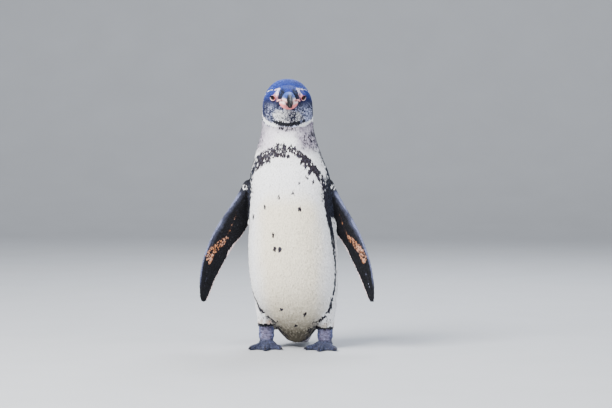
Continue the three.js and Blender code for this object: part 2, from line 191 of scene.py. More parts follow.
@dataclass(frozen=True)
class Line:
    """A line laid over the skin, which marks and folds keep to."""

    points: Array

    def near(self, at: Array) -> tuple[Array, Array]:
        """How far each point is from the line.

        Args:
            at: Points, one row each.

        Returns:
            The distance, and how far along the line the nearest place is, from 0 to 1.
        """
        best = np.full(len(at), np.inf)
        along = np.zeros(len(at))
        steps = len(self.points) - 1
        for i, (start, end) in enumerate(zip(self.points[:-1], self.points[1:])):
            run = end - start
            t = np.clip((at - start) @ run / max(run @ run, 1e-12), 0.0, 1.0)
            gap = np.linalg.norm(at - start - t[:, None] * run, axis=1)
            closer = gap < best
            best[closer] = gap[closer]
            along[closer] = (i + t[closer]) / steps
        return best, along


# ---- meshes


def new_object(name: str, vertices: Array, faces: list, smooth: bool = True) -> Object:
    """A mesh object at the origin.

    Args:
        name: The object's name.
        vertices: Points in the bird's frame.
        faces: Corner numbers of each face.
        smooth: Whether its faces are shaded smooth.

    Returns:
        The object, linked to the scene.
    """
    mesh = bpy.data.meshes.new(name)
    mesh.from_pydata(np.asarray(vertices).tolist(), [], faces)
    mesh.polygons.foreach_set("use_smooth", [smooth] * len(mesh.polygons))
    mesh.update()
    return linked(name, mesh)


def linked(name: str, data: bpy.types.ID) -> Object:
    """An object of the scene that holds a mesh, a light or a camera."""
    made = bpy.data.objects.new(name, data)
    bpy.context.scene.collection.objects.link(made)
    return made


def rows_of(items: bpy.types.bpy_prop_collection, key: str) -> Array:
    """Three numbers of each item of a mesh, one row each."""
    flat = np.empty(len(items) * 3, np.float32)
    items.foreach_get(key, flat)
    return flat.reshape(-1, 3).astype(float)


def places(mesh: Mesh) -> Array:
    """The places of the mesh's vertices."""
    return rows_of(mesh.vertices, "co")


def outward(mesh: Mesh) -> Array:
    """The mesh's normals at its vertices."""
    return rows_of(mesh.vertex_normals, "vector")


def move_to(mesh: Mesh, points: Array) -> None:
    """Gives the mesh's vertices new places."""
    mesh.vertices.foreach_set("co", np.asarray(points, np.float32).ravel())
    mesh.update()


def note(mesh: Mesh, name: str, values: Array, domain: str = "POINT") -> None:
    """Stores values on a mesh as a named attribute.

    Args:
        mesh: The mesh.
        name: The attribute's name.
        values: Whole numbers, numbers, rows of three, or rows of four for a colour.
        domain: POINT or FACE.
    """
    wide = 1 if values.ndim == 1 else values.shape[1]
    whole = values.dtype.kind == "i"
    kind = {1: "INT" if whole else "FLOAT", 3: "FLOAT_VECTOR", 4: "FLOAT_COLOR"}[wide]
    key = {1: "value", 3: "vector", 4: "color"}[wide]
    stored = mesh.attributes.new(name, kind, domain)
    stored.data.foreach_set(key, values.ravel().astype(np.int32 if whole else np.float32))


def paint(mesh: Mesh, colours: Array) -> None:
    """Notes a tint for each vertex."""
    note(mesh, "tint", np.column_stack([colours, np.ones(len(colours))]))


def finished(source: Object) -> Object:
    """Turns an object's modifiers into plain mesh.

    Args:
        source: The object, whose modifiers are removed.

    Returns:
        The same object with the evaluated mesh.
    """
    graph = bpy.context.evaluated_depsgraph_get()
    graph.update()
    mesh = bpy.data.meshes.new_from_object(source.evaluated_get(graph))
    source.modifiers.clear()
    old = source.data
    source.data = mesh
    mesh.name = source.name
    bpy.data.meshes.remove(old)
    return source


def face_out(mesh: Mesh) -> None:
    """Turns a closed mesh's faces outwards."""
    work = bmesh.new()
    work.from_mesh(mesh)
    bmesh.ops.recalc_face_normals(work, faces=work.faces)
    work.to_mesh(mesh)
    work.free()


def tube_faces(rows: int, around: int) -> list:
    """Faces of a closed form of rings, whose first and last vertex are its two ends.

    Args:
        rows: How many rings.
        around: How many vertices in each ring.

    Returns:
        Corner numbers; the ends are vertices 0 and rows * around + 1.
    """
    faces = []
    last = rows * around + 1
    for j in range(around):
        k = (j + 1) % around
        faces.append((0, 1 + k, 1 + j))
        faces.append((last, last - around + j, last - around + k))
        for i in range(rows - 1):
            base = 1 + i * around
            faces.append((base + j, base + k, base + around + k, base + around + j))
    return faces


# ---- node trees


def operator(operation: str, swapped: bool = False) -> Callable:
    """A method of Value that adds a Math node.

    Args:
        operation: What the node does.
        swapped: Whether the other value comes first, as in 1 / value.

    Returns:
        The method.
    """

    def apply(self: Value, other: Value | float) -> Value:
        """The node's result."""
        sides = (other, self) if swapped else (self, other)
        return self.graph.sum(operation, *sides)

    return apply


class Value:
    """A node's output that takes part in arithmetic."""

    def __init__(self, graph: Graph, socket: bpy.types.NodeSocket) -> None:
        """Wraps one output of a node in a graph."""
        self.graph = graph
        self.socket = socket

    __add__ = operator("ADD")
    __sub__ = operator("SUBTRACT")
    __mul__ = operator("MULTIPLY")
    __truediv__ = operator("DIVIDE")
    __rtruediv__ = operator("DIVIDE", swapped=True)


class Graph:
    """A node tree under construction."""

    def __init__(self, tree: bpy.types.NodeTree) -> None:
        """Starts on an emptied tree."""
        self.tree = tree
        tree.nodes.clear()

    def node(self, kind: str, settings: dict | None = None, **inputs: object) -> Node:
        """Adds a node.

        Args:
            kind: The node's type.
            settings: Its own settings, set first; stops are a ramp's places and colours.
            inputs: Values or links by socket name, with _ for a space.

        Returns:
            The node.
        """
        made = self.tree.nodes.new(kind)
        for name, value in (settings or {}).items():
            if name == "stops":
                self.set_stops(made.color_ramp, value)
            else:
                setattr(made, name, value)
        self.feed(made, **inputs)
        return made

    def feed(self, node: Node, **inputs: object) -> None:
        """Links or sets a node's enabled inputs by name, with _ for a space."""
        for name, value in inputs.items():
            name = name.replace("_", " ").lower()
            socket = next(s for s in node.inputs if s.enabled and s.name.lower() == name)
            if isinstance(value, Node):
                value = self.out(value)
            if isinstance(value, Value):
                self.tree.links.new(value.socket, socket)
            elif isinstance(value, np.ndarray):
                full = (1.0,) * (len(socket.default_value) - len(value))
                socket.default_value = tuple(value) + full
            else:
                socket.default_value = value

    def out(self, node: Node, name: str | None = None) -> Value:
        """An enabled output of a node, the first one unless named."""
        found = (s for s in node.outputs if s.enabled and name in (None, s.name))
        return Value(self, next(found))

    def sum(self, operation: str, first: object, second: object) -> Value:
        """A Math node on two numbers or values."""
        made = self.tree.nodes.new("ShaderNodeMath")
        made.operation = operation
        for socket, value in zip(made.inputs, (first, second)):
            if isinstance(value, Value):
                self.tree.links.new(value.socket, socket)
            else:
                socket.default_value = float(value)
        return Value(self, made.outputs[0])

    @staticmethod
    def set_stops(ramp: bpy.types.ColorRamp, stops: list) -> None:
        """Gives a ramp its places and colours."""
        while len(ramp.elements) < len(stops):
            ramp.elements.new(1.0)
        for element, (place, colour) in zip(ramp.elements, stops):
            element.position = place
            element.color = tuple(colour) + (1.0,)

    # -- what the shaders share

    def own(self, name: str, part: str = "Vector") -> Value:
        """A named attribute of the piece: its Color, Vector or Fac."""
        return self.out(self.node("ShaderNodeAttribute", {"attribute_name": name}), part)

    def parts(self, name: str) -> tuple[Value, Value, Value]:
        """The three numbers of a named vector of the piece."""
        made = self.node("ShaderNodeSeparateXYZ", Vector=self.own(name))
        return tuple(Value(self, socket) for socket in made.outputs)

    def noise(self, scale: float, detail: float = 2.0, where: Node | None = None) -> Value:
        """Noise from 0 to 1, over the piece's own coordinates unless told otherwise."""
        if where is None:
            where = self.out(self.node("ShaderNodeTexCoord"), "Object")
        return self.out(self.node("ShaderNodeTexNoise", Scale=scale, Detail=detail, Vector=where))

    def ramp(self, value: Value, stops: list) -> Value:
        """Colours by a value."""
        return self.out(self.node("ShaderNodeValToRGB", {"stops": stops}, Fac=value))

    def tinted(self, colour: Value, by: Value | Array, amount: Value | float) -> Value:
        """A colour multiplied by another, as far as the amount says."""
        settings = {"data_type": "RGBA", "blend_type": "MULTIPLY"}
        return self.out(self.node("ShaderNodeMix", settings, Factor=amount, A=colour, B=by))

    def shaded(self, colour: Value, by: Value, dark: tuple, amount: Value | float) -> Value:
        """A colour darkened where a value is low.

        Args:
            colour: The colour.
            by: The value.
            dark: Where the value shades fully, where it no longer does, and the shade.
            amount: How strongly it is laid on.

        Returns:
            The shaded colour.
        """
        low, high, shade = dark
        return self.tinted(colour, self.ramp(by, [(low, shade), (high, WHITE)]), amount)

    def relief(self, height: Value, distance: float) -> Value:
        """A normal that is raised by a height."""
        return self.out(self.node("ShaderNodeBump", Strength=1.0, Distance=distance, Height=height))

    # -- what the trees that set feathers share

    def named(self, name: str, kind: str) -> Value:
        """A named attribute of the geometry that a tree works on."""
        made = self.node("GeometryNodeInputNamedAttribute", {"data_type": kind}, Name=name)
        return self.out(made, "Attribute")

    def chance(self, low: float, high: float, seed: Value) -> Value:
        """A number drawn at random for each point."""
        made = self.node(
            "FunctionNodeRandomValue", {"data_type": "FLOAT"}, Min=low, Max=high, Seed=seed
        )
        return self.out(made)


def surface_of(name: str, **sockets: object) -> tuple[Material, Graph, Node]:
    """A material with one principled shader.

    Args:
        name: The material's name.
        sockets: The shader's constants, by socket name.

    Returns:
        The material, its graph and the shader's node.
    """
    material = bpy.data.materials.new(name)
    material.use_nodes = True
    graph = Graph(material.node_tree)
    shader = graph.node("ShaderNodeBsdfPrincipled", **sockets)
    graph.node("ShaderNodeOutputMaterial", Surface=shader)
    return material, graph, shader


# ---- finishes


@dataclass(frozen=True)
class PlumageFinish:
    """Feathers: a soft vane with barbs, a shaft, a root darkened by painted shade and a fringed
    tip.
    """

    name: str = "plumage"
    roughness: float = 0.56
    sheen: float = 0.02
    barbs: float = 70.0
    barb_height: float = 0.05 * MM

    def make(self) -> Material:
        """The material, which reads the feather's tint and the place on its vane."""
        made, graph, shader = surface_of(
            self.name, Sheen_Weight=self.sheen, Sheen_Roughness=0.4, Specular_IOR_Level=0.12
        )
        across, along, chance = graph.parts("vane")
        reach = graph.sum("ABSOLUTE", across, 0.0)
        shaft = graph.sum("LESS_THAN", reach, 0.045)
        barb = graph.sum("SINE", (along + reach * 0.8) * self.barbs, 0.0)
        tint = graph.own("tint", "Color")
        # Painted shade towards the root, where the feathers above cover it.
        tint = graph.shaded(tint, along, (0.3, 0.8, (0.7, 0.69, 0.68)), 1.0)
        tint = graph.shaded(tint, barb * 0.5 + 0.5, (0.0, 1.0, (0.92, 0.92, 0.92)), 0.7)
        tint = graph.tinted(tint, np.array([0.55, 0.52, 0.5]), shaft * 0.12)
        rough = chance * 0.12 + self.roughness
        normal = graph.relief(barb, self.barb_height)
        graph.feed(shader, Base_Color=tint, Roughness=rough, Normal=normal)
        return made


@dataclass(frozen=True)
class SkinFinish:
    """The skin: the plumage's ground colour, and fine creases where it is bare."""

    name: str = "skin"
    roughness: float = 0.68
    crease: float = 0.25 * MM

    def make(self) -> Material:
        """The material, which reads the skin's tint and how bare it is."""
        made, graph, shader = surface_of(self.name, Specular_IOR_Level=0.14)
        bare = graph.own("bare", "Fac")
        fine = graph.noise(1700.0, 3.0)
        coarse = graph.noise(420.0, 2.0)
        tint = graph.shaded(graph.own("tint", "Color"), fine, (0.3, 0.7, (0.72, 0.7, 0.72)), 0.8)
        tint = graph.shaded(tint, coarse, (0.35, 0.65, (0.84, 0.82, 0.84)), bare)
        rough = coarse * 0.2 + (self.roughness - 0.1)
        normal = graph.relief((fine + coarse) * bare, self.crease)
        graph.feed(shader, Base_Color=tint, Roughness=rough, Normal=normal)
        return made


@dataclass(frozen=True)
class HornFinish:
    """Horn: streaked along its growth, worn and a little glossy."""

    name: str
    gloss: float = 0.5
    streaks: float = 900.0

    def make(self) -> Material:
        """The material, which reads the horn's tint and its place along the growth."""
        made, graph, shader = surface_of(self.name, Coat_Roughness=0.3, Specular_IOR_Level=0.16)
        grown, around, _ = graph.parts("grain")
        where = graph.node("ShaderNodeCombineXYZ", X=grown * 0.12, Y=around)
        streak = graph.noise(self.streaks, 3.0, where)
        wear = graph.noise(600.0, 4.0)
        tint = graph.shaded(graph.own("tint", "Color"), streak, (0.3, 0.7, (0.74, 0.74, 0.76)), 0.9)
        normal = graph.relief(streak + wear, 0.08 * MM)
        graph.feed(shader, Base_Color=tint, Roughness=wear * 0.25 + self.gloss, Normal=normal)
        graph.feed(shader, Coat_Weight=streak * 0.08)
        return made


@dataclass(frozen=True)
class ScaleFinish:
    """The small plates on feet and shanks, each with its own shade."""

    name: str = "foot_scale"
    roughness: float = 0.42

    def make(self) -> Material:
        """The material, which reads each plate's tint."""
        made, graph, shader = surface_of(self.name, Specular_IOR_Level=0.5)
        pits = graph.noise(2600.0, 2.0)
        tint = graph.shaded(graph.own("tint", "Color"), pits, (0.3, 0.65, (0.7, 0.7, 0.72)), 0.7)
        normal = graph.relief(pits, 0.08 * MM)
        graph.feed(shader, Base_Color=tint, Roughness=pits * 0.2 + self.roughness, Normal=normal)
        return made


@dataclass(frozen=True)
class EyeFinish:
    """A wet eye: a black pupil in a dark red-brown iris, in the white of the ball."""

    name: str = "eye"
    pupil: float = 0.36
    iris: float = 0.62

    def make(self) -> Material:
        """The material, which reads how far a point is from the eye's axis."""
        made, graph, shader = surface_of(
            self.name, Roughness=0.12, Specular_IOR_Level=0.1, Coat_Weight=0.16, Coat_Roughness=0.02
        )
        out, turn, _ = graph.parts("iris")
        where = graph.node("ShaderNodeCombineXYZ", X=out * 0.6, Y=turn)
        fibre = graph.noise(9.0, 4.0, where)
        stops = [
            (self.pupil - 0.015, ink(3, 3, 4)),
            (self.pupil + 0.02, ink(60, 24, 16)),
            ((self.pupil + self.iris) / 2, ink(66, 24, 16)),
            (self.iris - 0.02, ink(20, 9, 9)),
            (self.iris + 0.02, ink(24, 15, 16)),
            (0.8, ink(60, 36, 36)),
        ]
        colours = graph.ramp(out + (fibre - 0.5) * 0.03, stops)
        tint = graph.shaded(colours, fibre, (0.3, 0.7, (0.55, 0.5, 0.5)), 0.8)
        graph.feed(shader, Base_Color=tint)
        return made


@dataclass(frozen=True)
class FloorFinish:
    """The pale matt floor of the studio."""

    name: str = "studio_floor"
    colour: tuple = (0.34, 0.35, 0.365)

    def make(self) -> Material:
        """The material."""
        made, graph, shader = surface_of(self.name, Roughness=0.75)
        shade = graph.noise(9.0, 3.0)
        low = np.array(self.colour) * 0.94
        graph.feed(shader, Base_Color=graph.ramp(shade, [(0.2, low), (0.8, self.colour)]))
        return made


# ---- anatomy


@dataclass(frozen=True)
class Axes:
    """A part's own frame: where it starts, and its three directions as rows."""

    origin: Array
    rows: Array

    def local(self, points: Array) -> Array:
        """Points of the bird's frame in this one, in millimetres."""
        return (points - self.origin) @ self.rows.T / MM

    def world(self, local: Array) -> Array:
        """Points of this frame, in millimetres, in the bird's own."""
        return self.origin + np.asarray(local, float) * MM @ self.rows


@dataclass
class Anatomy:
    """Where the parts of the bird lie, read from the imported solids.

    The head's frame is (left, ahead, up) from the point between the ears. A
    flipper's is (span, chord, palm): down to its tip, towards its leading edge, and out of
    the face that looks forward.
    """

    nodes: dict
    eye_ahead: float = 19.1
    eye_below: float = 2.0
    # The opening between the lids, in degrees from the eye's axis: mean, how much longer than
    # high, how far it hangs below the axis, and its tilt down towards the bill.
    lid_mean: float = 32.0
    lid_long: float = 6.5
    lid_low: float = 8.0
    lid_tilt: float = 10.0
    head_nod: float = 2.0
    flipper_slant: dict = field(default_factory=lambda: {"right": 20.6, "left": 19.8})
    flipper_forward: dict = field(default_factory=lambda: {"right": 30.0, "left": 37.0})
    flipper_buried: float = 20.0
    # The middle line of trunk and neck: height, middle x and y, and mean radius, in mm.
    middle_line: tuple = (
        (0.0, 11.4, 38.5, 25.0),
        (24.0, 11.4, 37.0, 31.0),
        (58.0, 11.4, 25.0, 54.0),
        (105.0, 9.4, 15.0, 65.0),
        (165.0, 7.4, 10.0, 67.0),
        (225.0, 5.9, 4.0, 62.0),
        (275.0, 4.4, -4.0, 55.0),
        (318.0, 2.6, -11.0, 42.0),
        (356.0, 2.6, -14.0, 37.0),
        (420.0, 2.6, -16.0, 30.0),
    )

    def __post_init__(self) -> None:
        """Works out the frames."""
        self.eyes = {side: self.centre(f"eye_{side}") for side in SIDES}
        self.head = self.head_axes()
        self.flippers = {side: self.flipper_axes(side) for side in SIDES}
        self.reaches = {side: self.flipper_reach(side) for side in SIDES}
        self.line = np.array(self.middle_line).T

    @staticmethod
    def centre(node: str) -> Array:
        """The middle of a solid's box."""
        low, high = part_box(node)
        return (np.array(low) + np.array(high)) / 2.0

    def head_axes(self) -> Axes:
        """The head's frame, from its two eyes."""
        side = self.eyes["left"] - self.eyes["right"]
        side[2] = 0.0
        side = unit(side)
        level = np.array([side[1], -side[0], 0.0])
        nod = math.radians(self.head_nod)
        ahead = math.cos(nod) * level - math.sin(nod) * UP
        crest = math.sin(nod) * level + math.cos(nod) * UP
        middle = (self.eyes["left"] + self.eyes["right"]) / 2.0
        origin = middle - (ahead * self.eye_ahead - crest * self.eye_below) * MM
        return Axes(origin, np.stack([side, ahead, crest]))

    def eye_axis(self, side: str) -> Array:
        """The direction that an eye looks in: well out to its side, and a little down."""
        return unit(np.array([SIDES[side] * 0.77, 0.63, -0.2])) @ self.head.rows

    def past_lid(self, points: Array, only: str | None = None) -> tuple[Array, Array]:
        """How far points lie past the edge of the nearer eye's opening.

        Args:
            points: Points on or near the face.
            only: The one side to look at.

        Returns:
            The angle past the edge in degrees, and the turn round the eye's axis from the
            bill upwards in radians.
        """
        past, turn = np.full(len(points), 180.0), np.zeros(len(points))
        for side in SIDES if only is None else (only,):
            axis = self.eye_axis(side)
            ray = unit(points - self.eyes[side])
            angle = np.degrees(np.arccos(np.clip(ray @ axis, -1.0, 1.0)))
            ahead = unit(self.head.rows[1] - (self.head.rows[1] @ axis) * axis)
            up = np.cross(axis, ahead)
            up = up * np.sign(up @ self.head.rows[2])
            here = np.arctan2(ray @ up, ray @ ahead)
            tilted = here + math.radians(self.lid_tilt)
            edge = self.lid_mean + self.lid_long * np.cos(2 * tilted) - self.lid_low * np.sin(here)
            near = np.linalg.norm(points - self.eyes[side], axis=1) < 25 * MM
            closer = (angle - edge < past) & near
            past = np.where(closer, angle - edge, past)
            turn = np.where(closer, here, turn)
        return past, turn

    def flipper_axes(self, side: str) -> Axes:
        """A flipper's frame, from its slant, its turn and where its buried end lies."""
        sign = SIDES[side]
        slant = math.radians(self.flipper_slant[side])
        turn = math.radians(self.flipper_forward[side])
        span = np.array([sign * math.sin(slant), 0.0, -math.cos(slant)])
        chord = np.array([sign * math.cos(turn), -math.sin(turn), 0.0])
        chord = unit(chord - span * (chord @ span))
        palm = np.cross(span, chord)
        palm = palm * (-1.0 if palm[1] > 0 else 1.0)
        points = places(self.nodes[f"flipper_{side}"].data)
        buried = points[(points @ span).argmin()]
        return Axes(buried + span * self.flipper_buried * MM, np.stack([span, chord, palm]))

    def flipper_reach(self, side: str) -> tuple[Array, Array, Array]:
        """The flipper's outline: stations along its span, and its two edges there."""
        local = self.flippers[side].local(places(self.nodes[f"flipper_{side}"].data))
        stations = np.arange(-10.0, 181.0, 10.0)
        near = [local[abs(local[:, 0] - s) < 7.0][:, 1] for s in stations]
        return stations, np.array([n.max() for n in near]), np.array([n.min() for n in near])

    def middle(self, height: Array) -> Array:
        """The middle line's points at heights in millimetres."""
        x = flow(self.line[0], self.line[1], height)
        y = flow(self.line[0], self.line[2], height)
        return np.column_stack([x, y, height]) * MM

    def around(self, points: Array) -> tuple[Array, Array]:
        """Where points are round the body.

        Args:
            points: Points of the bird's frame.

        Returns:
            The turn from straight ahead in degrees, positive to the bird's left, and the
            height in millimetres.
        """
        height = points[:, 2] / MM
        offset = points - self.middle(height)
        return np.degrees(np.arctan2(offset[:, 0], -offset[:, 1])), height


class Body:
    """The smooth body before any plumage, on which marks are laid out."""

    def __init__(self, mesh: Mesh, anatomy: Anatomy) -> None:
        """Reads the mesh's faces and keeps the anatomy that places marks on it."""
        faces = [tuple(face.vertices) for face in mesh.polygons]
        self.tree = BVHTree.FromPolygons(places(mesh).tolist(), faces)
        self.anatomy = anatomy

    def hit(self, start: Array, direction: Array) -> Array | None:
        """The first point that a line of sight meets."""
        found = self.tree.ray_cast(Vector(start), Vector(direction))[0]
        return None if found is None else np.array(found)

    def trunk_line(self, stops: list) -> Line:
        """A line by turns from straight ahead, in degrees, and heights in millimetres."""
        turns, heights = refined(stops, 5).T
        found = [
            self.hit(start, np.array([math.sin(turn), -math.cos(turn), 0.0]))
            for turn, start in zip(np.radians(turns), self.anatomy.middle(heights))
        ]
        return Line(np.array([point for point in found if point is not None]))

    def front_spot(self, x: float, z: float) -> Array:
        """The point of the belly that is straight behind a place in front of the bird."""
        return self.hit(np.array([x * MM, -0.3, z * MM]), np.array([0.0, 1.0, 0.0]))

    def face_line(self, stops: list, sign: int) -> Line:
        """A line on the head by places in its own frame.

        Args:
            stops: Rows of side, ahead and up in millimetres, roughly on the skin.
            sign: 1 for the bird's left, -1 for its right.

        Returns:
            The line, each point brought to the skin from the middle of the head.
        """
        rows = refined(stops, 4)
        rows[:, 0] *= sign
        spots = [Vector(self.anatomy.head.world(row)) for row in rows]
        return Line(np.array([self.tree.find_nearest(spot)[0] for spot in spots]))


# ---- markings


@dataclass
class Shade:
    """What the plumage is like at some points: how dark, and its light and dark colours."""

    dark: Array
    light: Array
    deep: Array

    def put(self, share: Array, colour: Array) -> None:
        """Lays a light colour over what is there."""
        kept = (1.0 - share) * (1.0 - self.dark)
        self.light = blend(self.light, colour, share / np.maximum(share + kept, 1e-6))
        self.dark = self.dark * (1.0 - share)

    def darken(self, share: Array) -> None:
        """Makes points at least this dark."""
        self.dark = np.maximum(self.dark, share)

    def tint(self, colour: Array, share: Array) -> None:
        """Turns the light colour towards another."""
        self.light = blend(self.light, colour, share)

    def deepen(self, colour: Array, share: Array) -> None:
        """Turns the dark colour towards another."""
        self.deep = blend(self.deep, colour, share)

    def mixed(self, dark: Array | None = None) -> Array:
        """The colours, with the dark share as it is or as given."""
        return blend(self.light, self.deep, self.dark if dark is None else dark)


@dataclass
class Markings:
    """The bird's colours. Skin and feathers both take theirs from here."""

    anatomy: Anatomy
    body: Body
    grain: Grain = field(default_factory=lambda: Grain(11))

    white = ink(243, 243, 244)
    ivory = ink(238, 228, 205)
    # The lower belly's olive stain and dark grime are partly real dirt and partly painted shade
    # under the body; the stain also tints the thighs' hem.
    stain_and_shade = ink(150, 141, 120)
    grime_and_shade = ink(58, 52, 42)
    throat = ink(222, 216, 226)
    slate = ink(22, 24, 33)
    # The head's black feathers carry a painted blue sheen of sky light: in the crown's colour, and
    # most in the feather tips.
    crown = ink(24, 38, 108)
    head_sheen_tip = ink(116, 152, 250)
    navy = ink(22, 26, 50)
    jet = ink(9, 9, 12)
    brown_black = ink(34, 28, 33)
    pink = ink(232, 130, 128)
    pale_pink = ink(243, 205, 202)
    smoke = ink(120, 110, 128)
    lilac = ink(226, 208, 228)
    cheek = ink(190, 198, 236)
    # sheen is a painted sheen: the blue-grey of sky light on dark feathers and shanks.
    sheen = ink(150, 158, 200)
    rust = ink(196, 128, 84)
    foot = ink(34, 37, 54)
    shank = ink(99, 93, 117)
    # blue_edge_sheen is a painted bluish sheen at the edges of the shanks.
    blue_edge_sheen = ink(76, 86, 132)
    lid_tone = 0.84

    # The dark band's two halves: turn from straight ahead in degrees, and height in mm.
    left_band = (
        (0, 312), (12, 313), (23, 310), (33, 303), (44, 293), (54, 282), (60, 270), (64, 257),
        (66, 243), (67, 225), (69, 205), (72, 188), (75, 160), (77, 130), (76, 105), (74, 90),
        (69, 74), (65, 62), (58, 51), (54, 44),
    )
    right_band = (
        (0, 312), (-11, 313), (-24, 311), (-40, 305), (-55, 296), (-66, 284), (-74, 270),
        (-79, 255), (-81, 240), (-84, 205), (-86, 171), (-86, 140), (-83, 110), (-78, 90),
        (-70, 74), (-62, 60), (-53, 51), (-48, 44),
    )
    # Its half-width and its strength by height, in mm.
    band_heights = (28, 41, 75, 109, 140, 171, 230, 257, 283, 303, 314)
    band_widths = (2.8, 2.8, 3.3, 3.6, 3.6, 3.8, 4.4, 4.4, 7.4, 8.2, 6.2)
    band_strengths = (0.98, 0.98, 0.96, 0.92, 0.92, 0.96, 0.99, 0.98, 0.98, 0.95, 0.82)
    # How far the band widens on the bird's left flank beside the flipper: partly dark feathers,
    # partly painted shadow of the flipper.
    flank_dark_and_shadow: float = 0.7
    # Where the dark back begins: height in mm, and turn from straight ahead in degrees.
    back_heights = (10, 40, 75, 110, 170, 205, 225, 250, 275, 300, 325, 350)
    back_turns = (142, 124, 112, 106, 102, 96, 86, 82, 80, 79, 79, 80)
    # Dark flecks on the breast and belly: x and height of each, and its size, in mm.
    flecks = (
        (15.1, 245, 1.6), (-5.7, 237.3, 1.4), (-28.9, 223.6, 1.8), (25, 220.3, 1.8),
        (-48.4, 207.2, 1.6), (-14, 181, 2.0), (-13, 160, 2.0), (-4.7, 159.4, 2.2),
        (13.6, 140.5, 1.0), (13.4, 136.5, 1.0), (-6.1, 64.7, 1.7), (30.3, 56.9, 1.9),
        (14.8, 37.3, 1.3), (26.1, 290.3, 1.5), (32.6, 284.8, 1.7), (38.3, 277.2, 1.8),
        (23.9, 261.3, 1.2), (29, 296, 1.8), (-22, 293, 1.4), (-9, 302, 1.5), (7, 301, 1.6),
        (35, 268, 1.3), (44, 262, 1.5),
    )
    fleck_scale = 1.75

    # Lines on one side of the head: side, ahead and up from between the ears, in mm.
    brow_stops = (
        (19.0, 29.5, -7), (19.0, 30, -2), (18.2, 29.5, 3), (16.8, 28, 8), (16.6, 26, 12),
        (20, 23, 12), (23.5, 18, 9.5),
    )
    loop_stops = (
        (23.5, 18, 9.5), (27.5, 11, 8), (30.5, 4, 4), (33, -2, -4), (34.5, -5, -14),
        (35, -4, -25), (34.5, 0, -34), (33, 6, -40),
    )
    gape_stops = ((9.5, 43.5, -6.6), (12.6, 39.5, -7.0), (15.2, 36, -8.2), (17.6, 32.5, -10))
    chin_stops = ((0, 22, -44), (9, 21, -43.2), (18, 17, -40.5), (26, 10, -35.5), (31, 4, -30))
    collar_turns = (0, 30, 60, 80, 95, 120)
    collar_heights = (-51, -50, -45.5, -40, -44, -60)
    collar_stops = ((0, 19, -49), (10, 18, -48), (20, 15, -45.5), (29, 9, -42), (33, 4, -38))

    # Marks on a flipper's palm: span and chord in mm.
    patch_stops = ((78, 3), (90, 10), (104, 18), (114, 19), (123, 15))
    streak_stops = ((34, 3), (56, 2.5), (76, 3))
    faint_stops = ((138, 12), (152, 10), (166, 7))
    # The pale ring at each shoulder: its x and height in mm.
    shoulder_marks = {"right": (-65.0, 251.6), "left": (73.0, 252.0)}
    shoulder_radius: float = 2.9
    shoulder_line: float = 1.05

    # How much lower the feathers reach on the left leg, in mm.
    ring_drop: float = 5.0

    def __post_init__(self) -> None:
        """Lays the marks' lines over the body."""
        right = list(reversed(self.right_band[1:]))
        self.band = self.body.trunk_line(right + list(self.left_band))
        self.fleck_places = np.array([self.body.front_spot(x, z) for x, z, _ in self.flecks])
        for name in ("brow", "loop", "gape", "chin", "collar"):
            stops = getattr(self, f"{name}_stops")
            setattr(self, name, [self.body.face_line(stops, sign) for sign in (-1, 1)])

    def lumps(self, points: Array, size: float, stretch: float = 1.0) -> Array:
        """Noise with lumps of a size in mm, and 1 / stretch times as high."""
        return self.grain.at(points * np.array([1.0, 1.0, stretch]), size * MM)

    def face_gap(self, name: str, points: Array) -> tuple[Array, Array]:
        """Distance in mm to a line of the face on either side, and the place along it."""
        found = [line.near(points) for line in getattr(self, name)]
        closer = found[0][0] < found[1][0]
        gap, along = (np.where(closer, found[0][i], found[1][i]) for i in (0, 1))
        return gap / MM, along

    def trunk(self, points: Array) -> Shade:
        """The plumage of trunk, neck and thighs."""
        turn, height = self.anatomy.around(points)
        side = abs(turn)
        wobble = self.lumps(points, 7)
        fine = self.lumps(points, 2.2)
        patchy = self.lumps(points, 4.2)
        cool = ease(28, 62, side)
        light = blend(self.ivory, self.white, np.clip(cool + ease(215, 260, height), 0, 1))
        # Darker towards the bottom of the belly: partly stain and grime, partly painted shade where
        # the body turns under.
        low = ease(120, 30, height) * (0.8 + 0.35 * patchy) * ease(82, 46, side)
        light = blend(light, self.stain_and_shade, np.clip(low, 0, 0.9) * 0.8)
        dirt_and_shade = ease(58, 14, height + 5 * patchy + 3 * fine)
        light = blend(light, self.grime_and_shade, np.clip(dirt_and_shade, 0, 0.9))
        streak = self.lumps(points, 1.3, 0.2)
        washed = ease(0.1, 0.5, streak) * ease(105, 55, height)
        light = blend(light, self.ivory, 0.3 * washed * ease(10, 30, height))
        warm = ease(0.0, 0.5, self.lumps(points, 9, 0.3))
        warm = warm * ease(240, 190, height) * ease(70, 110, height)
        light = blend(light, self.ivory, 0.6 * warm * (1 - cool))
        neck = ease(300, 318, height) * ease(14, 40, side + 6 * patchy)
        neck = np.maximum(neck, ease(326, 338, height) * 0.8)
        leftward = side + np.where(turn > 0, 7.0, -22.0)
        lilac = ease(10, 58, leftward + 9 * patchy) * (0.75 + 0.4 * fine)
        murk = blend(self.throat, self.smoke, np.clip(lilac, 0, 1))
        light = blend(light, murk, neck)
        deep = blend(self.slate, self.brown_black, ease(75, 55, side))
        flare = neck * (0.06 + 0.48 * ease(30, 72, leftward)) * (0.8 + fine)
        flare = flare * (1.0 - 0.85 * ease(335, 342, height))
        ruff = ease(335, 344, height + 2 * patchy) * ease(48, 20, side + 6 * patchy)
        flare = np.maximum(flare, ruff * (0.56 + 0.55 * fine))
        light = blend(light, self.smoke, 0.5 * ruff)
        shade = Shade(np.zeros(len(points)), light, deep)
        shade.darken(np.clip(flare, 0, 0.75))
        edge = flow(self.back_heights, self.back_turns, height)
        edge = edge - 7 * (turn > 0) * hump(height, 250, 18)
        edge = edge + (6 + 6 * (turn < 0)) * ease(292, 318, height)
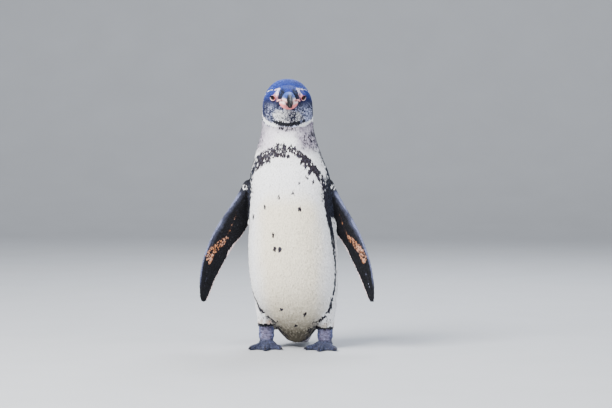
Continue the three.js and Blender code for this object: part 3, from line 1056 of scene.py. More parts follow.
        # The dark back comes forward beside the flippers: partly dark plumage, partly painted
        # shadow of the flippers.
        edge = edge - np.where(turn > 0, 24 * hump(height, 224, 34), 13 * hump(height, 246, 30))
        shoulder = ease(215, 235, height) * ease(345, 325, height)
        soft = 4 + 9 * shoulder
        shade.darken(ease(-soft, soft, side - edge + 4 * wobble + 5 * shoulder * fine))
        gap, _ = self.band.near(points)
        width = flow(self.band_heights, self.band_widths, height)
        width = width * (1.0 + self.flank_dark_and_shadow * (turn > 0) * hump(height, 185, 62))
        width = width * (1.0 - 0.5 * (turn < 0) * hump(height, 267, 13))
        width = width * (1.0 + np.where(turn < 0, 0.3, -0.28) * ease(268, 288, height))
        strength = flow(self.band_heights, self.band_strengths, height)
        breaks = ease(0.2, 0.5, patchy) * ease(190, 140, height)
        ragged = self.lumps(points, 2.4, 0.4)
        upper = ease(225, 285, height)
        band = 1.0 - ease(width - 1.4, width + 1.6, gap / MM + wobble + 2.3 * ragged * upper)
        speckle = 0.4 * ease(0.22, 0.5, fine) * ease(232, 252, height)
        shade.darken(band * strength * (1.0 - 0.85 * breaks) * (1.0 - speckle))
        # The belly's sides next to the legs: partly dark feathers, partly painted shade between
        # belly and legs.
        inner_dark_and_shade = ease(54, 38, height + 5 * patchy) * ease(30, 44, side + 9 * fine)
        inner_dark_and_shade = 0.9 * inner_dark_and_shade * ease(82, 68, side)
        shade.darken(inner_dark_and_shade * ease(-0.35, 0.15, patchy + fine))
        for place, (_, _, size) in zip(self.fleck_places, self.flecks):
            off = (points - place) / MM
            reach = np.sqrt(off[:, 0] ** 2 + off[:, 1] ** 2 + (off[:, 2] / 1.5) ** 2)
            size = self.fleck_scale * size
            shade.darken(1.0 - ease(size - 0.6, size + 0.6, reach))
        shade.put(self.shoulder_ring(points), self.white)
        return shade

    def shoulder_ring(self, points: Array) -> Array:
        """How much each point lies on the pale ring at either shoulder."""
        share = np.zeros(len(points))
        lobes = 0.75 + 0.6 * self.lumps(points, 3.0)
        for side, (x, z) in self.shoulder_marks.items():
            out = np.hypot(points[:, 0] / MM - x, (points[:, 2] / MM - z) / 1.15)
            front = ease(-5.5, -3.0, self.anatomy.flippers[side].local(points)[:, 2])
            ring = hump(out, self.shoulder_radius, self.shoulder_line)
            share += ring * front * np.clip(lobes, 0.3, 1.0)
        return np.clip(1.3 * share, 0, 0.95)

    def head(self, points: Array) -> Shade:
        """The plumage and bare skin of the head."""
        local = self.anatomy.head.local(points)
        left, ahead, up = local.T
        side = abs(left)
        fine = self.lumps(points, 1.6)
        patchy = self.lumps(points, 3.2)
        # The crown's blue is painted sheen, strongest on top; it gives way to slate on the nape and
        # navy lower on the head.
        nape = np.maximum(ease(-12, -44, up), ease(-8, -30, ahead + 0.4 * up))
        deep = blend(self.crown, self.slate, nape)
        lore = ease(14, 7, up) * ease(26, 34, ahead) * ease(3, 8, side)
        deep = blend(deep, self.jet, lore)
        low = ease(2, -14, up + 2 * patchy) * ease(-6, 10, ahead)
        deep = blend(deep, self.navy, low)
        forward = ease(0, 14, ahead + 3 * patchy)
        cheek = ease(-4, -32, up + 2 * patchy) * forward * (0.24 + 0.17 * (left > 0))
        oval = np.hypot((left + 1) / 23, (up + 32.6) / 12.4) + 0.22 * patchy + 0.16 * fine
        chin = ease(1.2, 0.78, oval) * forward
        streak = self.lumps(points, 1.5, 0.3)
        middle = hump(left, 5.0, 8.0) * chin
        rightward = ease(-9, 12, left)
        mottle = np.maximum(cheek, (0.75 - 0.2 * rightward) * chin)
        mottle += (0.42 * fine + 0.35 * streak * chin) * forward
        mottle -= middle * (0.32 + 0.8 * np.maximum(streak, 0.0))
        dark = 1.0 - np.clip(mottle, 0, 1) * ease(-8, -19, up + 2 * fine)
        shade = Shade(dark, blend(self.cheek, self.white, chin), deep)
        shade.tint(self.throat, 0.6 * middle)
        gap, _ = self.face_gap("collar", points)
        aside = ease(7, 22, side)
        ruff = (1.0 - ease(1.8, 4.0, gap + 0.9 * patchy)) * (0.3 + 0.65 * aside)
        shade.put(ruff * (0.4 + 0.6 * aside), blend(self.throat, self.white, aside))
        # The dark line under the chin: partly dark feathers, partly painted shadow that the chin
        # casts on the throat.
        gap, _ = self.face_gap("chin", points)
        thick = 0.8 + 2.0 * ease(29, 9, side)
        line = 1.0 - ease(thick, thick + 1.8, gap + 1.1 * patchy + 0.6 * fine)
        line *= ease(36, 27, side + 3 * patchy)
        shade.darken(line * 0.97)
        shade.deepen(self.jet, line)
        turn, _ = self.anatomy.around(points)
        fold = flow(self.collar_turns, self.collar_heights, abs(turn))
        below = ease(0.5, -2.5, up - fold)
        neck = self.trunk(points)
        shade.tint(neck.light, below)
        shade.deepen(neck.deep, below)
        shade.dark = shade.dark * (1 - below) + neck.dark * below
        gap, along = self.face_gap("loop", points)
        width = 0.3 + 1.4 * ease(0.2, 1.0, along)
        shade.put((1.0 - ease(width - 0.4, width + 0.7, gap + 0.5 * fine)) * 0.8, self.white)
        gap, along = self.face_gap("brow", points)
        width = 4.0 - 3.0 * ease(0.5, 0.95, along)
        brow = 1.0 - ease(width - 1.0, width + 0.9, gap + 0.9 * fine + 0.9 * patchy)
        brow *= 0.82 + 0.4 * fine
        fleshy = blend(self.pink, self.pale_pink, np.clip(0.35 + 0.9 * patchy, 0, 1))
        pale = blend(self.lilac, self.cheek, np.clip(0.25 + patchy, 0, 1))
        pale = blend(fleshy, pale, ease(0.16, 0.42, along + 0.08 * fine))
        shade.put(np.clip(brow, 0, 0.95), pale)
        past, turn = self.anatomy.past_lid(points)
        ahead_share = 0.5 + 0.5 * np.cos(turn + 0.3)
        below_share = 0.5 - 0.5 * np.sin(turn)
        reach = 1.0 + 5.0 * np.maximum(ahead_share, 0.8 * below_share) ** 1.5
        ring = ease(reach + 1.6, reach - 1.2, past + 1.4 * fine)
        lid = blend(self.pale_pink, self.pink, ease(-0.4, 0.5, patchy + ahead_share - 0.5))
        ring *= ease(0.3, 0.62, np.maximum(ahead_share, below_share))
        shade.put(ring, lid * self.lid_tone)
        rim = hump(past, 0.5, 3.2) * ease(0.75, 0.35, below_share)
        shade.darken(np.maximum(ease(-0.5, -2.5, past), 0.85 * rim))
        shade.deepen(self.jet, ease(1.5, -1.5, past))
        shade.put(self.gape_share(points), blend(self.pink, self.pale_pink, 0.5 + 0.5 * fine))
        warm = blend(self.pale_pink, self.pink, ease(-10, -14, up + patchy))
        shade.put(self.under_bill(local), warm)
        return shade

    @staticmethod
    def under_bill(local: Array) -> Array:
        """How much each point lies on the bare skin below the root of the bill."""
        out = np.hypot(local[:, 0] / 14.0, (local[:, 2] + 9.0) / 11.6)
        return ease(1.08, 0.96, out) * ease(-8, -9.5, local[:, 2]) * (local[:, 1] > 30)

    def gape_share(self, points: Array) -> Array:
        """How much each point lies on the fleshy corner of the mouth."""
        gap, along = self.face_gap("gape", points)
        width = 1.3 + 0.35 * ease(0.3, 1.0, along)
        return 1.0 - ease(width - 0.4, width + 0.5, gap)

    def from_eye(self, points: Array) -> Array:
        """Distance in mm from the axis of the nearer eye, measured across it."""
        best = np.full(len(points), np.inf)
        for side in SIDES:
            offset = points - self.anatomy.eyes[side]
            axis = self.anatomy.eye_axis(side)
            across = offset - (offset @ axis)[:, None] * axis
            gap = np.linalg.norm(across, axis=1) / MM
            best = np.minimum(best, np.where(offset @ axis > 0, gap, np.inf))
        return best

    def flipper(self, points: Array, side: str) -> Shade:
        """The small scale-like feathers of a flipper."""
        span, chord, palm = self.anatomy.flippers[side].local(points).T
        stations, lead, trail = self.anatomy.reaches[side]
        to_lead = flow(stations, lead, span) - chord
        to_trail = chord - flow(stations, trail, span)
        fine = self.lumps(points, 1.5)
        patchy = self.lumps(points, 3.4)
        under = ease(-0.6, 0.6, palm)
        shade = Shade(np.ones(len(points)), self.white, blend(self.slate, self.jet, under))
        blade = ease(0, 14, span) * ease(168, 140, span)
        # Painted sheen along the leading edge and over the underside's forward half.
        rim = ease(3.0, 0.8, to_lead + 0.5 * fine) * blade
        painted_sheen = ease(9, 2, to_lead + 1.5 * patchy) * hump(span, 55, 45) * under
        shade.deepen(self.sheen, np.maximum(painted_sheen * 0.14, rim * 0.5))
        tail_rim = ease(2.6, 1.2, to_trail + 0.4 * fine) * ease(40, 66, span)
        shade.put(tail_rim * 0.9, blend(self.white, self.pale_pink, 0.55 + 0.3 * fine))
        flat = np.column_stack([span, chord, np.zeros(len(span))])
        for stops, width, strength, colour in (
            (self.patch_stops, 6.4, 0.62, self.rust),
            (self.streak_stops, 1.2, 0.4, self.rust),
            (self.faint_stops, 1.3, 0.25, self.sheen),
        ):
            line = Line(np.column_stack([np.array(stops, float), np.zeros(len(stops))]))
            gap, along = line.near(flat)
            ends = ease(-0.02, 0.2, along) * ease(1.02, 0.85, along)
            reach = width * (0.45 + 0.55 * ends)
            share = (1.0 - ease(reach - 1.5, reach + 0.8, gap)) * under
            spots = ease(-0.35, 0.35, 0.5 * patchy + 0.9 * fine + (strength - 0.5))
            tone = blend(colour, self.white, np.clip(0.08 + 0.2 * patchy, 0, 1))
            shade.put(share * (0.25 + 0.75 * spots) * strength, tone)
        shade.put(self.shoulder_ring(points), self.white)
        return shade

    def tail(self, points: Array, normals: Array) -> Shade:
        """The tail: dark above, greyish white below."""
        under = ease(-0.2, -0.6, normals[:, 2] + 0.2 * self.lumps(points, 5))
        under = under * ease(32, 25, points[:, 2] / MM)
        return Shade(1.0 - 0.8 * under, self.throat, self.slate)

    def leg(self, points: Array) -> Shade:
        """The bare shanks, with a stained fringe and a dark ring where the feathers end."""
        height = points[:, 2] / MM
        patchy = self.lumps(points, 4)
        shade = self.trunk(points)
        shade.tint(self.white, np.full(len(points), 0.95))
        left = points[:, 0] > self.anatomy.middle(np.array([20.0]))[0, 0]
        height = height + self.ring_drop * left
        fringe = ease(49, 42, height + 1.5 * patchy)
        hem = blend(self.stain_and_shade, self.rust, 0.3 + 0.5 * self.lumps(points, 7))
        shade.tint(hem, np.clip(fringe * (0.35 + 0.8 * patchy), 0, 0.8))
        shade.dark = shade.dark * ease(42, 48, height)
        shade.darken(ease(39.6, 38.4, height + 0.6 * patchy) * 0.96)
        shade.deepen(self.jet, ease(42, 39, height))
        bare = ease(35.0, 33.6, height)
        right_x, left_x = (self.anatomy.centre(leg)[0] for leg in LEGS)
        off = abs(points[:, 0] - np.where(left, left_x, right_x)) / MM
        # Painted light on the shanks: bluish sheen at their edges, painted shade in the creases and
        # pale sheen between them.
        mauve = blend(self.shank, self.blue_edge_sheen, ease(6, 12, off + 2 * patchy))
        mauve = blend(mauve, self.foot, ease(17, 8, height + 4 * patchy))
        creases = self.lumps(points, 3.0, 2.6)
        mauve = blend(mauve, self.foot, 0.75 * ease(0.08, 0.45, creases))
        mauve = blend(mauve, self.sheen, 0.3 * ease(0.15, 0.5, -creases))
        shade.deepen(mauve, bare)
        shade.dark = np.maximum(shade.dark, bare)
        return shade


class Zone(IntEnum):
    """The tracts that the skin is divided into."""

    BARE = 0
    FACE = 1
    CROWN = 2
    NECK = 3
    BREAST = 4
    BELLY = 5
    BACK = 6
    RUMP = 7
    THIGHS = 8
    FLIPPER_RIGHT = 9
    FLIPPER_LEFT = 10
    TAIL = 11
    SCALES = 12


FLIPPER_ZONES = {"right": Zone.FLIPPER_RIGHT, "left": Zone.FLIPPER_LEFT}


@dataclass
class Skin:
    """One skin in place of all the solids of flesh."""

    anatomy: Anatomy
    voxel: float = 1.36 * MM
    swell: float = 0.35 * MM
    fillet: float = 0.6 * MM
    body_depth: float = 1.0
    neck_depth: float = 0.8
    head_depth: float = 0.5
    face_depth: float = 0.35
    limb_depth: float = 0.3
    tail_depth: float = 0.9
    bill_depth: float = 1.3
    smoothing: int = 70
    bill_core: float = 52.0
    lid_radius: float = 8.75
    # What the skin keeps clear of the eyeball, and how deep it lies behind the lids' opening.
    lid_least: float = 8.35
    socket: float = 6.6
    lores: tuple = ((15.2, 31.5, -3.5), (-15.2, 31.5, -3.5))
    creases: tuple = (15.5, 21.5, 29.0)
    crease_depth: float = 0.55
    # Where the tracts part: a turn in degrees, heights from the floor, places from the ears.
    back_turn: float = 98.0
    back_from: float = 165.0
    breast_from: float = 190.0
    neck_from: float = 292.0
    head_from: float = -47.0
    face_from: float = 12.0
    hem: float = 37.0
    sole: float = 1.2

    flesh = ("trunk", "neck", "head", "tail", *FLIPPERS, *LEGS, *FEET)
    solids = (*flesh, "eye_right", "eye_left", "bill_upper", "bill_lower")

    def build(self) -> Object:
        """Casts, smooths and shapes the skin.

        Returns:
            The skin's object, with its zones and the lie of the coat noted on it.
        """
        skin = self.cast()
        self.label(skin.data)
        self.thin(skin)
        self.label(skin.data)
        self.even(skin.data)
        self.refine(skin.data)
        self.label(skin.data)
        self.body = Body(skin.data, self.anatomy)
        self.markings = Markings(self.anatomy, self.body)
        for step in (self.sink, self.shape_face, self.note_lie, self.note_zones, self.colour):
            step(skin.data)
        return skin

    def cast(self) -> Object:
        """One closed surface round all the flesh, a little swollen so that the gaps close."""
        points, faces = [], []
        for name in self.solids:
            work = bmesh.new()
            work.from_mesh(self.anatomy.nodes[name].data)
            bmesh.ops.remove_doubles(work, verts=work.verts, dist=0.01 * MM)
            work.normal_update()
            swell = self.swell if name in self.flesh else 0.0
            start = len(points)
            work.verts.index_update()
            points += [tuple(v.co + v.normal * swell) for v in work.verts]
            faces += [[start + v.index for v in face.verts] for face in work.faces]
            work.free()
        skin = new_object("skin", np.array(points), faces)
        remesh = skin.modifiers.new("cast", "REMESH")
        remesh.mode = "VOXEL"
        remesh.voxel_size = self.voxel
        remesh.use_smooth_shade = True
        finished(skin)
        self.clip_bill(skin.data)
        return skin

    def clip_bill(self, mesh: Mesh) -> None:
        """Cuts off what the cast took of the bill, a little way inside its root."""
        head = self.anatomy.head
        work = bmesh.new()
        work.from_mesh(mesh)
        low = head.origin[2] - 45 * MM
        faces = [f for f in work.faces if f.calc_center_median().z > low]
        around = {part for f in faces for part in (*f.verts, *f.edges)}
        cut = bmesh.ops.bisect_plane(
            work,
            geom=[*around, *faces],
            plane_co=head.world([0, self.bill_core, 0]),
            plane_no=head.rows[1],
            clear_outer=True,
        )
        rim = [e for e in cut["geom_cut"] if isinstance(e, bmesh.types.BMEdge)]
        bmesh.ops.holes_fill(work, edges=rim, sides=0)
        work.to_mesh(mesh)
        work.free()

    def label(self, mesh: Mesh) -> None:
        """Works out the solid that each vertex lies on, soft masks from that, and the edges."""
        points, faces, owner = [], [], []
        for number, name in enumerate(self.solids):
            data = self.anatomy.nodes[name].data
            start = len(points)
            points += places(data).tolist()
            faces += [[start + v for v in face.vertices] for face in data.polygons]
            owner += [number] * len(data.polygons)
        tree = BVHTree.FromPolygons(points, faces)
        where = places(mesh)
        found = [tree.find_nearest(point) for point in where.tolist()]
        self.owner = np.array(owner)[[hit[2] for hit in found]]
        out = where - np.array([hit[0] for hit in found])
        normals = np.array([hit[1] for hit in found])
        self.outside = np.sum(out * normals, axis=1)
        edges = np.empty(len(mesh.edges) * 2, np.int32)
        mesh.edges.foreach_get("vertices", edges)
        self.edges = edges.reshape(-1, 2)
        self.count = np.bincount(edges, minlength=len(mesh.vertices)).astype(float)
        self.masks = {
            name: self.spread((self.owner == number).astype(float), 6)
            for number, name in enumerate(self.solids)
        }

    def mean(self, values: Array) -> Array:
        """The mean of each vertex's neighbours."""
        first, second = self.edges.T
        size = len(self.count)
        total = np.bincount(first, values[second], size) + np.bincount(second, values[first], size)
        return total / np.maximum(self.count, 1.0)

    def spread(self, values: Array, rounds: int) -> Array:
        """Values smoothed over the mesh."""
        for _ in range(rounds):
            values = 0.5 * values + 0.5 * self.mean(values)
        return values

    def mask(self, *names: str) -> Array:
        """The soft mask of several solids together."""
        return np.clip(sum(self.masks[name] for name in names), 0.0, 1.0)

    def thin(self, skin: Object) -> None:
        """Takes out vertices where the plumage will hide the skin."""
        group = skin.vertex_groups.new(name="hidden")
        hidden = np.nonzero(self.mask("trunk", "neck") > 0.9)[0]
        group.add(hidden.tolist(), 1.0, "REPLACE")
        fewer = skin.modifiers.new("thin", "DECIMATE")
        fewer.ratio = 0.5
        fewer.vertex_group = group.name
        finished(skin)
        skin.vertex_groups.clear()

    def even(self, mesh: Mesh) -> None:
        """Smooths out facets, less where the form is small."""
        points = places(mesh)
        local = self.anatomy.head.local(points)
        freedom = 0.75 * np.ones(len(points))
        freedom *= 0.2 + 0.8 * ease(35, 75, points[:, 2] / MM)
        face = ease(6, 16, local[:, 1]) * ease(-45, -38, local[:, 2])
        for share, value in (
            (self.mask(*FLIPPERS, "tail"), 0.09),
            (self.mask(*FEET, *LEGS), 0.05),
            (face, 0.16),
            (ease(38, 44, local[:, 1]) * face, 0.0),
        ):
            freedom = freedom * (1 - share) + value * share
        for _ in range(self.smoothing):
            target = np.column_stack([self.mean(points[:, i]) for i in range(3)])
            points += (target - points) * freedom[:, None]
        move_to(mesh, points)

    def refine(self, mesh: Mesh) -> None:
        """Divides the faces of the head's front, and again round the eyes."""
        work = bmesh.new()
        work.from_mesh(mesh)
        head = self.anatomy.head
        for round_eyes in (False, True):
            centres = np.array([f.calc_center_median() for f in work.faces])
            at = head.local(centres)
            chosen = (at[:, 1] > 10) & (at[:, 2] > -42)
            if round_eyes:
                near = [np.linalg.norm(centres - eye, axis=1) for eye in self.anatomy.eyes.values()]
                chosen = np.minimum(*near) / MM < 11.5
            faces = [f for f, yes in zip(work.faces, chosen) if yes]
            edges = list({e for f in faces for e in f.edges})
            bmesh.ops.subdivide_edges(work, edges=edges, cuts=1, use_grid_fill=True)
            bmesh.ops.triangulate(work, faces=[f for f in work.faces if len(f.verts) > 4])
        work.to_mesh(mesh)
        work.free()
        mesh.update()

    def sink(self, mesh: Mesh) -> None:
        """Draws the skin in by the swelling and the depth of the coat."""
        points = places(mesh)
        local = self.anatomy.head.local(points)
        depth = np.full(len(points), self.body_depth)
        height = points[:, 2] / MM
        head = self.mask("head")
        for share, value in (
            (ease(285, 315, height), self.neck_depth),
            (head, self.head_depth),
            (ease(14, 26, local[:, 1]) * head, self.face_depth),
            (self.mask(*FLIPPERS), self.limb_depth),
            (self.mask("tail"), self.tail_depth),
        ):
            depth += share * (value - depth)
        legs = self.mask(*LEGS) * ease(36, 44, height)
        thigh = self.mask(*LEGS) * 0.8
        depth = depth * (1 - thigh) + thigh * legs
        bare = self.mask(*FEET)
        depth *= 1.0 - bare
        near_bill = ease(40, 46, local[:, 1]) * self.mask("head", "bill_upper", "bill_lower")
        depth += near_bill * (self.bill_depth - depth)
        self.bare = np.clip(bare + thigh * (1 - legs), 0, 1)
        outside = np.clip(self.outside, -self.fillet * 12, self.fillet)
        points -= outward(mesh) * (self.spread(outside, 12) + self.spread(depth, 4) * MM)[:, None]
        move_to(mesh, points)

    def shape_face(self, mesh: Mesh) -> None:
        """Adds lids, the corner of the mouth, the brow, the lores and the throat's crease."""
        points = places(mesh)
        normals = outward(mesh)
        head = self.anatomy.head
        local = head.local(points)
        rise = np.zeros(len(points))
        gap, _ = self.markings.face_gap("gape", points)
        rise += 0.5 * hump(gap, 0.0, 1.4) - 0.3 * hump(gap, 2.6, 0.9)
        gap, along = self.markings.face_gap("brow", points)
        rise += 0.35 * hump(gap, 0.0, 2.6) * ease(0.2, 0.5, along)
        gap, _ = self.markings.face_gap("chin", points)
        rise -= 0.8 * hump(gap, 0.0, 2.4)
        for place in head.world(self.lores):
            rise -= 0.7 * hump(np.linalg.norm(points - place, axis=1) / MM, 0.0, 3.4)
        face = ease(4, 14, local[:, 1]) * ease(-60, -50, local[:, 2])
        points += normals * (rise * face * MM)[:, None]
        for side in SIDES:
            self.open_eye(points, side)
        height = points[:, 2] / MM + 0.08 * local[:, 0]
        fold = sum(hump(height, level, 1.1) for level in self.creases)
        fold = fold * self.crease_depth * self.bare * ease(12, 14, height)
        points -= normals * (fold * MM)[:, None]
        points[:, 2] = np.maximum(points[:, 2], 0.0)
        move_to(mesh, points)

    def open_eye(self, points: Array, side: str) -> None:
        """Lays a ring of lids round an eye and sinks the skin behind its opening.

        Args:
            points: The skin's vertices, moved in place.
            side: Which eye.
        """
        centre = self.anatomy.eyes[side]
        reach = np.linalg.norm(points - centre, axis=1)
        near = np.nonzero(reach < 20 * MM)[0]
        ray = unit(points[near] - centre)
        cosine = np.clip(ray @ self.anatomy.eye_axis(side), -1.0, 1.0)
        past, turn = self.anatomy.past_lid(points[near], side)
        above = ease(-0.2, 0.8, np.sin(turn))
        lid = self.lid_radius + 0.3 * hump(past, 2.6, 2.6) - 0.16 * hump(past, 8.0, 2.4)
        lid += 0.14 * hump(past, 12.5, 2.8) - 0.14 * hump(past, 17.5, 2.6)
        lid += above * (0.45 * hump(past, 5.0, 5.0) + 0.5 * hump(past, 16.0, 8.0))
        target = blend(np.array([self.socket]), lid[:, None], ease(-3.2, 0.6, past))[:, 0]
        pull = ease(88.0, 48.0, np.degrees(np.arccos(cosine)))
        was = reach[near] / MM
        now = was + (target - was) * pull
        now = np.where(past > 0.6, np.maximum(now, self.lid_least), now)
        points[near] = centre + ray * (now * MM)[:, None]

    def note_lie(self, mesh: Mesh) -> None:
        """Notes the way the coat lies at each vertex, and how large it grows there."""
        points = places(mesh)
        normals = outward(mesh)
        head = self.anatomy.head
        _, ahead, up = head.local(points).T
        _, height = self.anatomy.around(points)
        lie = -UP + 0.35 * ease(70, 30, height)[:, None] * np.array([0.0, 1.0, 0.0])
        from_bill = unit(points - head.world([0, 44, -6]))
        cheek = ease(-58, -34, up)[:, None]
        lie = lie * (1 - cheek) + (from_bill - 0.45 * UP) * cheek
        for side in SIDES:
            axes = self.anatomy.flippers[side]
            share = self.mask(f"flipper_{side}")[:, None]
            lie = lie * (1 - share) + (axes.rows[0] - 0.28 * axes.rows[1]) * share
        share = self.mask("tail")[:, None]
        lie = lie * (1 - share) + np.array([0.0, 0.72, -0.69]) * share
        lie = unit(lie - np.sum(lie * normals, axis=1)[:, None] * normals)
        note(mesh, "lie", lie)
        near_eye = ease(13, 6.5, self.markings.from_eye(points))
        near_bill = ease(30, 42, ahead) * self.mask("head")
        grow = 1.0 - 0.32 * (ease(-52, -20, up) * ease(-16, 16, ahead))
        grow *= 1.0 - 0.3 * np.maximum(near_eye * (ahead > 0), near_bill)
        grow *= 1.0 + 0.4 * ease(-14, -44, up) * ease(12, -6, ahead) * self.mask("head")
        note(mesh, "grow", grow)

    def note_zones(self, mesh: Mesh) -> None:
        """Notes the tract that each face belongs to."""
        centres = rows_of(mesh.polygons, "center")
        first = np.array([face.vertices[0] for face in mesh.polygons])
        name = np.array(self.solids)[self.owner[first]]
        local = self.anatomy.head.local(centres)
        turn, height = self.anatomy.around(centres)
        _, ahead, up = local.T
        on_head = up > self.head_from
        back = abs(turn) > self.back_turn
        leg = np.char.startswith(name, "leg")
        left = centres[:, 0] > self.anatomy.centre("trunk")[0]
        hem = self.hem - self.markings.ring_drop * left
        past, round_eye = self.anatomy.past_lid(centres)
        low_front = np.maximum(np.cos(round_eye), -np.sin(round_eye))
        gap, along = self.markings.face_gap("brow", centres)
        bare = (past < 3.0 + 7.0 * ease(-0.3, 0.8, low_front)) | (ahead > 43.0)
        bare |= self.markings.gape_share(centres) > 0.3
        bare |= self.markings.under_bill(local) > 0.5
        bare |= (gap < 2.4) & (along < 0.3)
        zone = np.full(len(name), int(Zone.BELLY))
        for here, value in (
            (height > self.breast_from, Zone.BREAST),
            (back, Zone.RUMP),
            (back & (height > self.back_from), Zone.BACK),
            (height > self.neck_from, Zone.NECK),
            (on_head, Zone.CROWN),
            (on_head & (ahead > self.face_from), Zone.FACE),
            (name == "flipper_right", Zone.FLIPPER_RIGHT),
            (name == "flipper_left", Zone.FLIPPER_LEFT),
            (leg, Zone.SCALES),
            (leg & (height > hem), Zone.THIGHS),
            (np.char.startswith(name, "foot"), Zone.SCALES),
            (name == "tail", Zone.TAIL),
            (bare & on_head & (ahead > 0), Zone.BARE),
        ):
            zone[here] = value
        zone[(height < self.sole) & (zone == Zone.SCALES)] = Zone.BARE
        note(mesh, "zone", zone, "FACE")

    def colour(self, mesh: Mesh) -> None:
        """Notes the skin's own tint, from the same markings as the coat."""
        points = places(mesh)
        shade = self.markings.trunk(points).mixed()
        local = self.anatomy.head.local(points)
        above = ease(-50, -47, local[:, 2])
        tail = self.markings.tail(points, outward(mesh))
        colour = blend(shade, self.markings.head(points).mixed(), above)
        for names, low, part in (
            (FLIPPERS[:1], 0.4, self.markings.flipper(points, "right").mixed()),
            (FLIPPERS[1:], 0.4, self.markings.flipper(points, "left").mixed()),
            (("tail",), 0.4, tail.mixed()),
            (LEGS, 0.4, self.markings.leg(points).mixed()),
            (FEET, 0.3, self.markings.foot),
        ):
            colour = blend(colour, part, ease(low, 0.6, self.mask(*names)))
        paint(mesh, colour)
        face = ease(12.0, 8.0, self.anatomy.past_lid(points)[0])
        face = np.maximum(face, self.markings.gape_share(points) * above)
        note(mesh, "bare", np.maximum(self.bare, face * above))


# ---- the plumage


@dataclass(frozen=True)
class Tract:
    """One tract of the coat, with its feathers' spread and size in mm and lift in degrees."""

    zone: Zone
    slot: str
    spacing: float
    length: float
    width: float
    lift: float

    @property
    def name(self) -> str:
        """The name of its piece."""
        return f"coat_{self.zone.name.lower()}"


TRACTS = (
    Tract(Zone.FACE, "coat_head", 0.72, 2.5, 1.2, 10),
    Tract(Zone.CROWN, "coat_head", 0.85, 3.8, 1.6, 8),
    Tract(Zone.NECK, "coat_neck", 1.15, 5.6, 2.2, 7),
    Tract(Zone.BREAST, "coat_trunk", 1.3, 7.4, 2.8, 6),
    Tract(Zone.BELLY, "coat_trunk", 1.4, 8.0, 3.0, 6),
    Tract(Zone.BACK, "coat_dark", 1.4, 8.4, 3.1, 6.5),
    Tract(Zone.RUMP, "coat_dark", 1.4, 8.4, 3.1, 6.5),
    Tract(Zone.THIGHS, "coat_trunk", 1.15, 5.2, 2.1, 8),
    Tract(Zone.FLIPPER_RIGHT, "coat_flipper", 0.98, 3.0, 1.5, 5),
    Tract(Zone.FLIPPER_LEFT, "coat_flipper", 0.98, 3.0, 1.5, 5),
    Tract(Zone.TAIL, "coat_dark", 1.35, 7.0, 2.5, 6),
)


